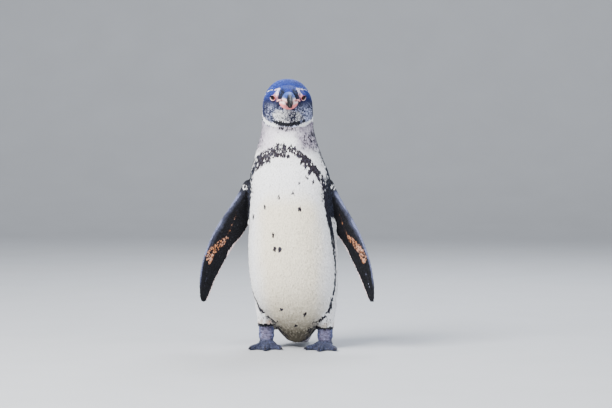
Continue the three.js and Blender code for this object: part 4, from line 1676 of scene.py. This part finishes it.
@dataclass
class Plumage:
    """The coat: vanes set over the skin by rule, along its lie."""

    skin: Object
    anatomy: Anatomy
    markings: Markings
    patch: float = 0.003
    margin: float = 0.02
    clear: float = 0.2
    shown: float = 0.7
    sway: float = 13.0
    # How soft the step from light to dark feathers is, and how far chance shifts it.
    softness: float = 0.16
    chance: float = 0.75
    # How much light feathers vary in tone, and how much more dark ones do.
    variation: tuple = (0.04, 0.2)
    # How pale the tips of dark feathers are, on flippers and elsewhere, and where they take a
    # painted blue sheen. The pale tips are partly their own edges and partly painted sheen.
    fringe: dict = field(default_factory=lambda: {"coat_flipper": 0.05})
    plain_fringe: float = 0.12
    blue_sheen_tips: float = 0.62

    # One feather, 1 wide and 1 long: its root, two rows of left, ridge and right, its tip.
    outline = (
        (0.0, 0.0, 0.0), (-0.5, 0.42, -0.02), (0.0, 0.42, 0.07), (0.5, 0.42, -0.02),
        (-0.41, 0.80, -0.04), (0.0, 0.82, 0.05), (0.41, 0.80, -0.04), (0.0, 1.0, -0.03),
    )
    facets = (
        (0, 2, 1), (0, 3, 2), (1, 2, 5, 4), (2, 3, 6, 5), (4, 5, 7), (5, 6, 7),
        (0, 1, 3), (3, 1, 4, 6), (6, 4, 7),
    )
    rim = ((0, 1), (1, 4), (4, 7), (0, 3), (3, 6), (6, 7))
    # A plate of scaly skin is a low six-sided dome, this high.
    rise = 0.2

    def prepare(self) -> None:
        """Makes the two shapes and the tree that sets them."""
        vane = np.array(self.outline)
        self.vane = new_object("vane", vane, list(self.facets))
        mesh = self.vane.data
        crisp = [tuple(sorted(edge.vertices)) in self.rim for edge in mesh.edges]
        mesh.attributes.new("sharp_edge", "BOOLEAN", "EDGE").data.foreach_set("value", crisp)
        turns = np.radians(np.arange(6) * 60 + 30)
        rim = np.column_stack([np.cos(turns) * 0.5, np.sin(turns) * 0.5 + 0.5, np.zeros(6)])
        ends = np.array([[0.0, 0.5, self.rise], [0.0, 0.5, -self.rise]])
        faces = [(i, (i + 1) % 6, 6) for i in range(6)] + [((i + 1) % 6, i, 7) for i in range(6)]
        self.plate = new_object("plate", np.vstack([rim, ends]), faces)
        self.material = PlumageFinish().make()
        self.scale_material = ScaleFinish().make()
        self.group, self.keys = self.tree()

    def tree(self) -> tuple[bpy.types.NodeTree, dict]:
        """The tree that sets pieces over a tract of the skin.

        Returns:
            The tree, and its inputs' identifiers by name.
        """
        group = bpy.data.node_groups.new("coat", "GeometryNodeTree")
        graph = Graph(group)
        keys = {}
        for name, kind in (
            ("Skin", "Object"), ("Piece", "Object"), ("Zone", "Int"), ("Spacing", "Float"),
            ("Size", "Vector"), ("Lift", "Float"), ("Sway", "Float"), ("Seed", "Int"),
            ("Material", "Material"),
        ):
            made = group.interface.new_socket(name, in_out="INPUT", socket_type=f"NodeSocket{kind}")
            keys[name] = made.identifier
        group.interface.new_socket("Coat", in_out="OUTPUT", socket_type="NodeSocketGeometry")
        given = graph.node("NodeGroupInput")
        take = {name: graph.out(given, name) for name in keys}
        skin = graph.node("GeometryNodeObjectInfo", Object=take["Skin"])
        piece = graph.node("GeometryNodeObjectInfo", Object=take["Piece"])
        equal = {"data_type": "INT", "operation": "EQUAL"}
        zone = graph.named("zone", "INT")
        here = graph.node("FunctionNodeCompare", equal, A=zone, B=take["Zone"])
        spread = graph.node(
            "GeometryNodeDistributePointsOnFaces",
            {"distribute_method": "POISSON"},
            Mesh=graph.out(skin, "Geometry"),
            Selection=here,
            Distance_Min=take["Spacing"],
            Density_Max=1.6 / (take["Spacing"] * take["Spacing"]),
            Seed=take["Seed"],
        )
        up = graph.node(
            "FunctionNodeAlignRotationToVector", {"axis": "Z"}, Vector=graph.out(spread, "Normal")
        )
        along = graph.node(
            "FunctionNodeAlignRotationToVector",
            {"axis": "Y", "pivot_axis": "Z"},
            Rotation=up,
            Vector=graph.named("lie", "FLOAT_VECTOR"),
        )
        tilt = graph.chance(0.7, 1.35, take["Seed"] + 1.0) * take["Lift"]
        sway = graph.chance(-1.0, 1.0, take["Seed"] + 2.0) * take["Sway"]
        turn = graph.node("ShaderNodeCombineXYZ", X=tilt, Y=sway * 0.5, Z=sway)
        turned = graph.node(
            "FunctionNodeRotateRotation",
            {"rotation_space": "LOCAL"},
            Rotation=along,
            Rotate_By=graph.node("FunctionNodeEulerToRotation", Euler=turn),
        )
        size = graph.chance(0.86, 1.16, take["Seed"] + 3.0) * graph.named("grow", "FLOAT")
        scale = graph.node(
            "ShaderNodeVectorMath", {"operation": "SCALE"}, Vector=take["Size"], Scale=size
        )
        placed = graph.node(
            "GeometryNodeInstanceOnPoints",
            Points=spread,
            Instance=graph.out(piece, "Geometry"),
            Rotation=turned,
            Scale=scale,
        )
        real = graph.node("GeometryNodeRealizeInstances", Geometry=placed)
        dressed = graph.node("GeometryNodeSetMaterial", Geometry=real, Material=take["Material"])
        graph.node("NodeGroupOutput", Coat=dressed)
        return group, keys

    def scatter(self, name: str, piece: Object, given: tuple) -> Object:
        """Sets a piece over a tract.

        Args:
            name: The new object's name.
            piece: What is set.
            given: The zone, the spacing and the size in mm, the lift and the sway in degrees,
                the seed and the material.

        Returns:
            The tract as one plain mesh.
        """
        zone, spacing, size, lift, sway, seed, material = given
        made = new_object(name, np.zeros((0, 3)), [])
        setter = made.modifiers.new("coat", "NODES")
        setter.node_group = self.group
        for key, value in {
            "Skin": self.skin, "Piece": piece, "Zone": zone, "Spacing": spacing * MM,
            "Size": Vector(size) * MM, "Lift": math.radians(lift), "Sway": math.radians(sway),
            "Seed": seed, "Material": material,
        }.items():
            setter[self.keys[key]] = value
        finished(made)
        for stale in ("lie", "grow", "bare", "tint"):
            if stale in made.data.attributes:
                made.data.attributes.remove(made.data.attributes[stale])
        points = places(made.data)
        points[:, 2] = np.maximum(points[:, 2], self.clear * MM)
        move_to(made.data, points)
        return made

    def grow(self, tract: Tract) -> Object:
        """Grows and colours one tract of feathers."""
        size = (tract.width, tract.length, tract.width)
        seed = 10 * int(tract.zone)
        given = (int(tract.zone), tract.spacing, size, tract.lift, self.sway, seed, self.material)
        made = self.scatter(tract.name, self.vane, given)
        rows = len(self.outline)
        points = places(made.data).reshape(-1, rows, 3)
        count = len(points)
        rng = np.random.default_rng(int(tract.zone))
        chance = rng.random(count)
        roots = points[:, 0]
        tips = points[:, -1]
        over = np.cross(points[:, 3] - roots, tips - roots)
        shade = self.shade(tract.zone, roots + (tips - roots) * self.shown, over)
        level = shade.dark + (chance - 0.5) * self.chance
        dark = ease(0.5 - self.softness, 0.5 + self.softness, level)
        plain, more = self.variation
        vary = (plain + more * dark) * (2.0 * rng.random(count) - 1.0)
        colour = shade.mixed(dark) * (1.0 + vary)[:, None]
        # Dark feathers' tips take the painted sheen's colour, blue on the crown.
        blue_sheen_share = self.sheen_blueness(roots)
        fringe = self.fringe.get(tract.slot, self.plain_fringe)
        share = dark * rng.random(count) ** 1.6 * (fringe + self.blue_sheen_tips * blue_sheen_share)
        tip = blend(self.markings.sheen, self.markings.head_sheen_tip, blue_sheen_share)
        outline = np.array(self.outline)
        share = ease(0.6, 1.0, outline[:, 1])[None, :] * share[:, None]
        colours = np.repeat(colour[:, None], rows, 1)
        colours = colours + (tip[:, None] - colours) * share[..., None]
        paint(made.data, colours.reshape(-1, 3))
        shape = np.repeat(outline[None], count, 0)
        shape[..., 2] = chance[:, None]
        note(made.data, "vane", shape.reshape(-1, 3))
        self.unwrap(made.data, self.spread_out(tract.zone, roots), outline[:, :2])
        return made

    def sheen_blueness(self, points: Array) -> Array:
        """How much painted blue sheen the tips of dark feathers take: most on the crown, none on
        the body.
        """
        _, ahead, up = self.anatomy.head.local(points).T
        return ease(-16, 7, up) * (0.5 + 0.5 * ease(-14, 8, ahead + 0.5 * up))

    def shade(self, zone: Zone, points: Array, normals: Array) -> Shade:
        """The markings at a tract's feathers."""
        for side, flipper in FLIPPER_ZONES.items():
            if zone == flipper:
                return self.markings.flipper(points, side)
        if zone == Zone.TAIL:
            return self.markings.tail(points, unit(normals))
        if zone == Zone.THIGHS:
            return self.markings.leg(points)
        if zone in (Zone.FACE, Zone.CROWN):
            return self.markings.head(points)
        return self.markings.trunk(points)

    def spread_out(self, zone: Zone, roots: Array) -> Array:
        """Where roots lie on the skin laid flat, in millimetres.

        Args:
            zone: The tract.
            roots: The feathers' roots.

        Returns:
            Two numbers for each root.
        """
        if zone in (Zone.FACE, Zone.CROWN):
            local = self.anatomy.head.local(roots) - np.array([0.0, 6.0, -10.0])
            pole = (1, 0, 2) if zone == Zone.FACE else (2, 0, 1)
            main, first, second = (unit(local)[:, i] for i in pole)
            turn = np.arctan2(second, first)
            reach = np.degrees(np.arccos(np.clip(main, -1, 1))) * 0.65
            return np.column_stack([np.cos(turn) * reach, np.sin(turn) * reach])
        for side, flipper in FLIPPER_ZONES.items():
            if zone == flipper:
                span, chord, palm = self.anatomy.flippers[side].local(roots).T
                return np.column_stack([chord + np.where(palm > 0, 62.0, 0.0), span])
        if zone in (Zone.THIGHS, Zone.SCALES):
            left = roots[:, 0] > self.anatomy.middle(np.array([20.0]))[0, 0]
            shift = np.where(left, 1, -1)
            right_leg, left_leg = (self.anatomy.centre(leg) * [1.0, 1.0, 0.0] for leg in LEGS)
            offset = (roots - np.where(left[:, None], left_leg, right_leg)) / MM
            turn = np.degrees(np.arctan2(offset[:, 0], -offset[:, 1]))
            wide = np.hypot(offset[:, 0], offset[:, 1])
            if zone == Zone.SCALES:
                return np.column_stack([offset[:, 0] + shift * 45, offset[:, 1] - offset[:, 2]])
            return np.column_stack([turn * 0.35 + shift * 70, offset[:, 2] + wide * 0.2])
        turn, height = self.anatomy.around(roots)
        around = np.where(zone in (Zone.BACK, Zone.RUMP, Zone.TAIL), turn % 360 - 180, turn)
        return np.column_stack([around * 1.1, height])

    def unwrap(self, mesh: Mesh, flat: Array, shape: Array) -> None:
        """Gives each small piece its own patch, at its root's place on the skin laid flat.

        Args:
            mesh: The tract's mesh, one small piece after another.
            flat: The roots' places.
            shape: Each of a piece's vertices in its own square, 1 wide.
        """
        low, high = flat.min(0), flat.max(0)
        room = 1.0 - 2 * self.margin
        centre = self.margin + (flat - low) / (high - low).max() * room
        shape = np.column_stack([shape[:, 0], shape[:, 1] - 0.5]) * self.patch
        each = (centre[:, None] + shape[None]).reshape(-1, 2)
        corners = np.empty(len(mesh.loops), np.int32)
        mesh.loops.foreach_get("vertex_index", corners)
        layer = mesh.uv_layers.new(name="OFBake")
        layer.data.foreach_set("uv", each[corners].astype(np.float32).ravel())

    def scales(self) -> Object:
        """Covers shanks and the tops of the feet with small plates."""
        given = (int(Zone.SCALES), 1.0, (1.55, 1.45, 1.3), 2, 22, 7, self.scale_material)
        made = self.scatter("foot_scales", self.plate, given)
        rows = len(self.plate.data.vertices)
        points = places(made.data).reshape(-1, rows, 3)
        roots = points.mean(axis=1)
        rng = np.random.default_rng(7)
        height = roots[:, 2] / MM
        marks = self.markings
        colour = blend(marks.foot, marks.leg(roots).mixed(), ease(9, 16, height))
        # Painted blue highlights on some plates.
        painted_sheen = rng.random(len(roots)) ** 2.5 * (0.5 - 0.35 * ease(12, 18, height))
        colour = blend(colour, ink(108, 120, 170), painted_sheen)
        colour = colour * (0.75 + 0.5 * rng.random(len(roots)))[:, None]
        paint(made.data, np.repeat(colour, rows, 0))
        self.unwrap(made.data, self.spread_out(Zone.SCALES, roots), places(self.plate.data)[:, :2])
        return made

    def clear_up(self) -> None:
        """Removes the single pieces that the tracts were made from."""
        for piece in (self.vane, self.plate):
            bpy.data.objects.remove(piece)


# ---- tail feathers


@dataclass
class TailFeathers:
    """The stiff narrow feathers of the tail, in an upper and a lower fan."""

    anatomy: Anatomy
    markings: Markings
    count: int = 15
    width: float = 5.6
    thick: float = 0.7
    steps: int = 9
    sides: int = 6
    # The tail's outline, from its root to its tip: y, height, half-width and thickness in mm.
    levels: tuple = (
        (52.0, 52.0, 22.0, 25.0),
        (70.0, 36.0, 23.0, 21.0),
        (84.0, 24.5, 20.5, 14.5),
        (97.0, 12.8, 16.0, 8.6),
        (108.0, 3.6, 9.5, 4.6),
        (111.4, 1.1, 0.0, 1.6),
    )

    def build(self) -> Object:
        """Makes both fans as one mesh."""
        points, faces = [], []
        for upper in (1, -1):
            for spot in 2.0 * np.arange(self.count) / (self.count - 1) - 1.0:
                grid = tube_faces(self.steps, self.sides)
                faces += [[len(points) + v for v in face] for face in grid]
                points += self.feather(spot, upper).tolist()
        made = new_object("tail_feathers", np.array(points) * MM, faces)
        grain = self.markings.lumps(places(made.data), 3)
        paint(made.data, blend(ink(34, 36, 44), ink(70, 74, 90), 0.3 + 0.3 * grain))
        across = np.concatenate([[0], np.tile([-0.5, -0.25, 0, 0.25, 0.5, 0], self.steps), [0]])
        t = np.linspace(0.0, 1.0, self.steps)
        along = np.concatenate([[0.3], np.repeat(0.3 + 0.6 * t, self.sides), [1.0]])
        vane = np.tile(np.column_stack([across, along]), (2 * self.count, 1))
        note(made.data, "vane", np.column_stack([vane, grain * 0.5 + 0.5]))
        return made

    def feather(self, spot: float, upper: int) -> Array:
        """The points of one feather.

        Args:
            spot: Its place in the fan, from -1 to 1.
            upper: 1 in the upper fan, -1 in the lower.

        Returns:
            Its vertices in millimetres.
        """
        level = np.array(self.levels)
        middle = self.anatomy.centre("tail")[0] / MM
        reach = 1.0 - 0.2 * abs(spot) ** 2.2 - (0.06 if upper < 0 else 0.0)
        t = np.linspace(0.0, 1.0, self.steps)
        y = level[0, 0] + (level[-1, 0] - level[0, 0]) * reach * t
        z, half, deep = (flow(level[:, 0], level[:, i], y) for i in (1, 2, 3))
        pinch = 0.86 - 0.28 * t * t
        widest = level[1, 2]
        x = middle + spot * widest * pinch * np.clip(half / widest + 0.35, 0, 1)
        curve = math.sqrt(max(0.0, 1.0 - 0.85 * spot * spot))
        sunk = 0.5 + 0.5 * ease(0.12, 0.5, t)
        z = np.maximum(z + upper * deep * 0.46 * curve * (1 - 0.35 * t) * sunk, 0.55)
        line = np.column_stack([x, y, z])
        width = self.width * 0.5 * np.array([0.7, 0.9, 1, 1, 1, 0.96, 0.85, 0.6, 0.28])
        run = unit(np.gradient(line, axis=0))
        side = unit(np.cross(run, UP))
        side[:, 2] += -0.25 * spot * upper
        side = unit(side)
        lift = unit(np.cross(side, run))
        rows = []
        for k in range(self.steps):
            for off, up in ((-1, 0), (-0.5, 0.6), (0, 1), (0.5, 0.6), (1, 0), (0, -0.5)):
                shift = side[k] * off * width[k] + lift[k] * up * self.thick * 0.5
                rows.append(line[k] + shift)
        ends = np.vstack([line[0] - run[0], rows, line[-1] + run[-1] * 1.2])
        ends[:, 2] = np.maximum(ends[:, 2], 0.15)
        return ends


# ---- eyes, bill and claws


@dataclass
class Eye:
    """An eyeball with a low bulge in front."""

    anatomy: Anatomy
    side: str
    radius: float = 8.0
    bulge: float = 0.35
    rows: int = 40
    around: int = 48

    def build(self) -> Object:
        """Turns the ball about the direction that it looks in."""
        axis = self.anatomy.eye_axis(self.side)
        across = unit(np.cross(axis, self.anatomy.head.rows[2]))
        up = np.cross(across, axis)
        angles = np.linspace(0.0, np.pi, self.rows + 2)[1:-1]
        turns = np.arange(self.around) / self.around * 2 * np.pi
        swell = self.radius + self.bulge * ease(42, 12, np.degrees(angles))
        ring = np.cos(turns)[:, None] * across + np.sin(turns)[:, None] * up
        points = [axis * (self.radius + self.bulge)]
        iris = [[0.0, 0.0, 0.0]]
        for angle, reach in zip(angles, swell):
            points += list(reach * (math.cos(angle) * axis + math.sin(angle) * ring))
            out = math.sin(min(angle, np.pi / 2))
            iris += [[out, math.cos(turn), math.sin(turn)] for turn in turns]
        points.append(-axis * self.radius)
        iris.append([1.0, 0.0, 0.0])
        where = self.anatomy.eyes[self.side] + np.array(points) * MM
        made = new_object(f"eyeball_{self.side}", where, tube_faces(self.rows, self.around))
        face_out(made.data)
        note(made.data, "iris", np.array(iris))
        return made


@dataclass
class Bill:
    """The two halves of the bill, in the head's own frame and in millimetres."""

    anatomy: Anatomy
    grain: Grain
    rows: int = 120
    around: int = 56
    # Levels along the bill: ahead, half-width, ridge, cutting edge and keel.
    ahead = (34.0, 36.0, 43.0, 52.0, 62.0, 72.0, 81.0, 88.5, 93.6, 95.2)
    half = (12.0, 12.6, 10.9, 8.5, 6.7, 5.3, 4.3, 3.4, 2.1, 0.5)
    ridge = (4.6, 5.4, 5.9, 4.1, 1.8, -0.7, -3.8, -7.6, -11.8, -15.1)
    edge = (-7.4, -7.6, -7.3, -7.4, -8.0, -8.9, -10.6, -13.4, -15.8, -16.0)
    keel = (-18.4, -19.0, -19.0, -17.6, -16.0, -15.1, -15.2, -15.3, -15.3, -15.3)
    root: float = 34.0
    tip: float = 95.2
    lower_end: float = 86.3
    lower_width: float = 0.93

    ebony = ink(7, 7, 9)
    steel = ink(66, 92, 162)
    flesh = ink(232, 128, 124)
    cream = ink(242, 220, 214)
    bruise = ink(104, 82, 92)

    def sheath(self, name: str, shape: Callable, colour: Callable, ends: tuple) -> Object:
        """A half of the bill, from rings at stations along it and its two ends.

        Args:
            name: The piece's name.
            shape: Gives a ring's points from its station, the turns round it, their sines and
                their cosines.
            colour: Gives a ring's colours from its station, the turns round it and its points.
            ends: The last station, the points at root and tip, and the root's colour.

        Returns:
            The half, whose tip is ebony.
        """
        end, first, last, first_colour = ends
        t = np.linspace(0.0, 1.0, self.rows)
        angle = np.arange(self.around) / self.around * 2 * np.pi
        points, colours = [np.array(first)], [first_colour]
        for a in self.root + (end - self.root) * np.sin(t * np.pi / 2) ** 0.85:
            ring = shape(a, np.degrees(angle), np.sin(angle), np.cos(angle))
            points += list(ring)
            colours += list(colour(a, np.degrees(angle), ring))
        local = np.array([*points, np.array(last)])
        made = new_object(name, self.anatomy.head.world(local), tube_faces(self.rows, self.around))
        face_out(made.data)
        paint(made.data, np.array([*colours, self.ebony]))
        turn = np.degrees(np.arctan2(local[:, 2] + 8.0, local[:, 0]))
        note(made.data, "grain", np.column_stack([local[:, 1], turn * 0.06, local[:, 0]]) * MM)
        return made

    def upper(self) -> Object:
        """The upper half: a ridged sheath with grooves, nostrils and a hooked nail."""
        ends = (self.tip, [0.0, 33.6, -1.0], [0.0, self.tip + 0.1, -15.7], self.steel)
        return self.sheath("bill_upper_horn", self.upper_ring, self.upper_colour, ends)

    def lower(self) -> Object:
        """The lower half: a trough with a keel, fleshy near its root."""
        end = self.lower_end
        ends = (end, [0.0, 33.6, -13.0], [0.0, end + 0.2, -14.0], self.flesh)
        return self.sheath("bill_lower_horn", self.lower_ring, self.lower_colour, ends)

    def upper_ring(self, a: float, turn: Array, sin: Array, cos: Array) -> Array:
        """One ring of the upper half."""
        half, ridge, edge = (flow(self.ahead, v, a) for v in (self.half, self.ridge, self.edge))
        x = half * np.sign(cos) * abs(cos) ** 0.86
        top = (ridge - edge) * np.maximum(sin, 0.0) ** 1.05
        under = -0.75 * np.maximum(-sin, 0.0) ** 0.6 * min(1.0, half / 2.0)
        z = edge + top + under
        groove = self.groove(a, turn, half)
        centre = edge + 0.35 * (ridge - edge)
        x -= groove * cos
        z -= groove * np.sign(z - centre) * abs(sin) * 0.8
        x *= 1.0 + 0.07 * math.sin(a * 3.1) * ease(60, 40, a) / max(half, 1.0)
        return np.column_stack([x, np.full(len(x), a) - 1.2 * np.maximum(-sin, 0), z])

    def groove(self, a: float, turn: Array, half: float) -> Array:
        """How deep the side grooves and the nostrils are cut at one station."""
        from_side = np.minimum(turn, abs(turn - 180.0))
        on_side = np.where(turn < 180, from_side, 90.0)
        run = ease(40, 46, a) * ease(84, 74, a)
        cut = 0.7 * hump(on_side, 48.0, 9.0) * run
        nostril = 1.3 * hump(a, 53.0, 3.0) * hump(on_side, 45.0, 6.0)
        nail = 0.28 * hump(a, 80.5, 0.8) * (turn < 180)
        return (cut + nostril + nail) * min(1.0, half / 5.0)

    def upper_colour(self, a: float, turn: Array, ring: Array) -> Array:
        """Dark horn, blue-grey near the root, blacker on the ridge and at the tip."""
        at = np.full(len(turn), a)
        mottle = self.grain.at(ring + 50.0, 2.4)
        root = ease(74, 54, at + 3 * mottle)
        colour = blend(self.ebony, self.steel, root * (0.8 + 0.2 * mottle))
        rough = self.grain.at(ring * np.array([1.0, 0.25, 1.0]) + 70.0, 0.9)
        over = ring[:, 2] - flow(self.ahead, self.edge, a)
        pale = ease(5.2, 2.4, over + 0.9 * mottle + 0.7 * rough)
        pale *= ease(84, 62, at + 5 * mottle) * ease(3.5, 4.7, abs(ring[:, 0]))
        fleshy = blend(self.cream, self.flesh, ease(1.6, 0.6, over + 0.4 * mottle))
        colour = blend(colour, fleshy, pale)
        colour = blend(colour, self.ebony, hump(turn, 90, 28) * ease(54, 62, at))
        nostril = hump(at, 53.0, 2.8) * hump(np.minimum(turn, abs(180 - turn)), 45.0, 5.5)
        return blend(colour, ink(6, 6, 8), np.clip(nostril * 1.3, 0, 1) * (turn < 180))

    def lower_ring(self, a: float, turn: Array, sin: Array, cos: Array) -> Array:
        """One ring of the lower half."""
        half, edge, keel = (flow(self.ahead, v, a) for v in (self.half, self.edge, self.keel))
        close = math.sqrt(max(0.0, 1.0 - max(0.0, (a - 70.0) / (self.lower_end - 70.0)) ** 2.4))
        half = half * self.lower_width * (0.12 + 0.88 * close)
        top = edge - 1.1
        keel = top + (keel - top) * (0.12 + 0.88 * close)
        x = half * np.sign(cos) * abs(cos) ** 0.85
        z = top + 0.6 * np.maximum(sin, 0) ** 0.6 - (top - keel) * np.maximum(-sin, 0) ** 0.85
        seam = 0.4 * hump(turn, 222.0, 8.0) + 0.4 * hump(turn, 318.0, 8.0)
        seam = seam * ease(40, 46, a) * ease(78, 66, a)
        return np.column_stack([x - seam * cos, np.full(len(x), a), z - seam * sin])

    def lower_colour(self, a: float, turn: Array, ring: Array) -> Array:
        """Pink and cream near the root, darkening to black at the tip."""
        at = np.full(len(turn), a)
        mottle = self.grain.at(ring + 90.0, 2.6)
        warm = ease(-11.5, -14.5, ring[:, 2] + mottle)
        colour = blend(self.cream, self.flesh, np.clip(warm + 0.3 * mottle, 0, 1))
        colour = blend(colour, self.bruise, ease(54, 64, at + 3 * mottle) * 0.8)
        return blend(colour, self.ebony, ease(60, 72, at + 3 * mottle))


@dataclass
class Claws:
    """The claws, each smoothed from its solid, with fine growth rings."""

    anatomy: Anatomy
    levels: int = 3
    rings: float = 0.06 * MM
    swell: float = 0.22 * MM

    def build(self, node: str) -> Object:
        """Makes one claw."""
        work = bmesh.new()
        work.from_mesh(self.anatomy.nodes[node].data)
        bmesh.ops.remove_doubles(work, verts=work.verts, dist=0.01 * MM)
        mesh = bpy.data.meshes.new(f"{node}_horn")
        work.to_mesh(mesh)
        work.free()
        made = linked(f"{node}_horn", mesh)
        smooth = made.modifiers.new("smooth", "SUBSURF")
        smooth.levels = self.levels
        smooth.render_levels = self.levels
        finished(made)
        mesh = made.data
        mesh.polygons.foreach_set("use_smooth", [True] * len(mesh.polygons))
        points = places(mesh)
        centre = points.mean(0)
        run = unit(np.linalg.svd(points - centre, full_matrices=False)[2][0])
        along = (points - centre) @ run / MM
        points += outward(mesh) * (self.swell + self.rings * np.sin(along * 5.0))[:, None]
        points[:, 2] = np.maximum(points[:, 2], 0.1 * MM)
        move_to(mesh, points)
        dark = ink(20, 20, 26)
        colour = blend(dark, ink(74, 74, 92), 0.5 + 0.5 * np.sin(along * 1.1))
        paint(mesh, blend(colour, dark, np.full(len(points), 0.6)))
        note(mesh, "grain", np.column_stack([along, points[:, 2] / MM, along * 0]) * MM)
        return made


# ---- studio


@dataclass
class Studio:
    """The pale floor, the soft light and the camera."""

    azimuth: float = 6.0
    elevation: float = 3.0
    distance: float = 4.0
    view_width: float = 0.952
    # What the middle of the view shows, across the view and up it.
    aim_across: float = 0.0293
    aim_up: float = 0.2256
    sensor: float = 36.0
    # How high the lights look.
    middle: float = 0.25

    def directions(self) -> tuple[Vector, Vector, Vector]:
        """Across the view, up it, and back towards the camera."""
        turn, rise = math.radians(self.azimuth), math.radians(self.elevation)
        across = Vector((math.cos(turn), math.sin(turn), 0.0))
        flat = math.cos(rise)
        back = Vector((math.sin(turn) * flat, -math.cos(turn) * flat, math.sin(rise)))
        return across, back.cross(across), back

    def camera(self) -> None:
        """Sets the camera a long way off with a long lens."""
        across, up, back = self.directions()
        data = bpy.data.cameras.new("camera")
        data.sensor_width = self.sensor
        data.lens = self.sensor * self.distance / self.view_width
        data.clip_end = 60.0
        made = linked("camera", data)
        made.location = across * self.aim_across + up * self.aim_up + back * self.distance
        made.rotation_euler = back.to_track_quat("Z", "Y").to_euler()
        bpy.context.scene.camera = made

    def light(self, name: str, power: float, size: float, at: tuple, colour: tuple) -> None:
        """A square soft light that looks at the middle of the bird."""
        data = bpy.data.lights.new(name, "AREA")
        data.energy = power
        data.size = size
        data.color = colour
        made = linked(name, data)
        made.location = at
        aim = Vector(at) - Vector((0.0, 0.0, self.middle))
        made.rotation_euler = aim.to_track_quat("Z", "Y").to_euler()

    def lights(self) -> None:
        """A large light above and to the left, a fill, one from behind, and a pale room."""
        self.light("key", 252.0, 1.3, (-1.1, -1.5, 1.9), (1.0, 0.985, 0.96))
        self.light("fill", 37.0, 1.6, (1.7, -1.2, 0.9), (0.92, 0.95, 1.0))
        self.light("crown", 49.0, 1.0, (0.3, 1.3, 1.6), (0.86, 0.91, 1.0))
        world = bpy.data.worlds.new("room")
        world.use_nodes = True
        graph = Graph(world.node_tree)
        sky = graph.node("ShaderNodeBackground", Color=np.array([0.82, 0.88, 1.0]), Strength=0.8)
        graph.node("ShaderNodeOutputWorld", Surface=graph.out(sky))
        bpy.context.scene.world = world

    def floor(self) -> None:
        """A wide floor that curves up behind."""
        reach, bend, steps = 5.0, 1.2, 16
        turns = np.linspace(0.0, np.pi / 2, steps)
        back = 2.6
        profile = [(-reach, 0.0), (back, 0.0)]
        profile += [(back + bend * math.sin(t), bend * (1 - math.cos(t))) for t in turns[1:]]
        profile.append((back + bend, reach))
        points = [(x, y, z) for y, z in profile for x in (-reach, reach)]
        faces = [(2 * i, 2 * i + 1, 2 * i + 3, 2 * i + 2) for i in range(len(profile) - 1)]
        made = new_object("floor", np.array(points), faces)
        made.data.materials.append(FloorFinish().make())


# ---- the bird


def dress(piece: Object, slot: str, material: Material, *nodes: str) -> None:
    """Finishes a piece: its material, what it replaces and what it rides on. The slot is not used.
    """
    piece.data.materials.clear()
    piece.data.materials.append(material)
    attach(piece, "root")
    if nodes:
        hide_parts(*nodes)
    faces = sum(len(face.vertices) - 2 for face in piece.data.polygons)
    LOG.info("%s: %d triangles", piece.name, faces)


def main() -> None:
    """Builds the bird and the studio, piece by piece."""
    logging.basicConfig(level=logging.INFO, format="%(message)s")
    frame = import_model()
    anatomy = Anatomy(frame["nodes"])
    studio = Studio()
    studio.camera()
    studio.lights()
    studio.floor()

    builder = Skin(anatomy)
    skin = builder.build()
    plumage = Plumage(skin, anatomy, builder.markings)
    plumage.prepare()
    for tract in TRACTS:
        dress(plumage.grow(tract), tract.slot, plumage.material)
    dress(plumage.scales(), "foot_skin", plumage.scale_material)
    plumage.clear_up()
    dress(skin, "coat_trunk", SkinFinish().make(), *Skin.flesh)
    dress(TailFeathers(anatomy, builder.markings).build(), "coat_dark", plumage.material)

    eye_finish = EyeFinish().make()
    for side in SIDES:
        dress(Eye(anatomy, side).build(), "eye", eye_finish, f"eye_{side}")
    bill = Bill(anatomy, builder.markings.grain)
    dress(bill.upper(), "bill_horn", HornFinish("bill_upper_horn").make(), "bill_upper")
    dress(bill.lower(), "bill_lower_horn", HornFinish("bill_lower_horn").make(), "bill_lower")
    horn = HornFinish("claw_horn", 0.28, 1400.0).make()
    claws = Claws(anatomy)
    for name in sorted(frame["nodes"]):
        if name.startswith("claw_"):
            dress(claws.build(name), "claw_horn", horn, name)

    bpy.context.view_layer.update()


if __name__ == "__main__":
    main()
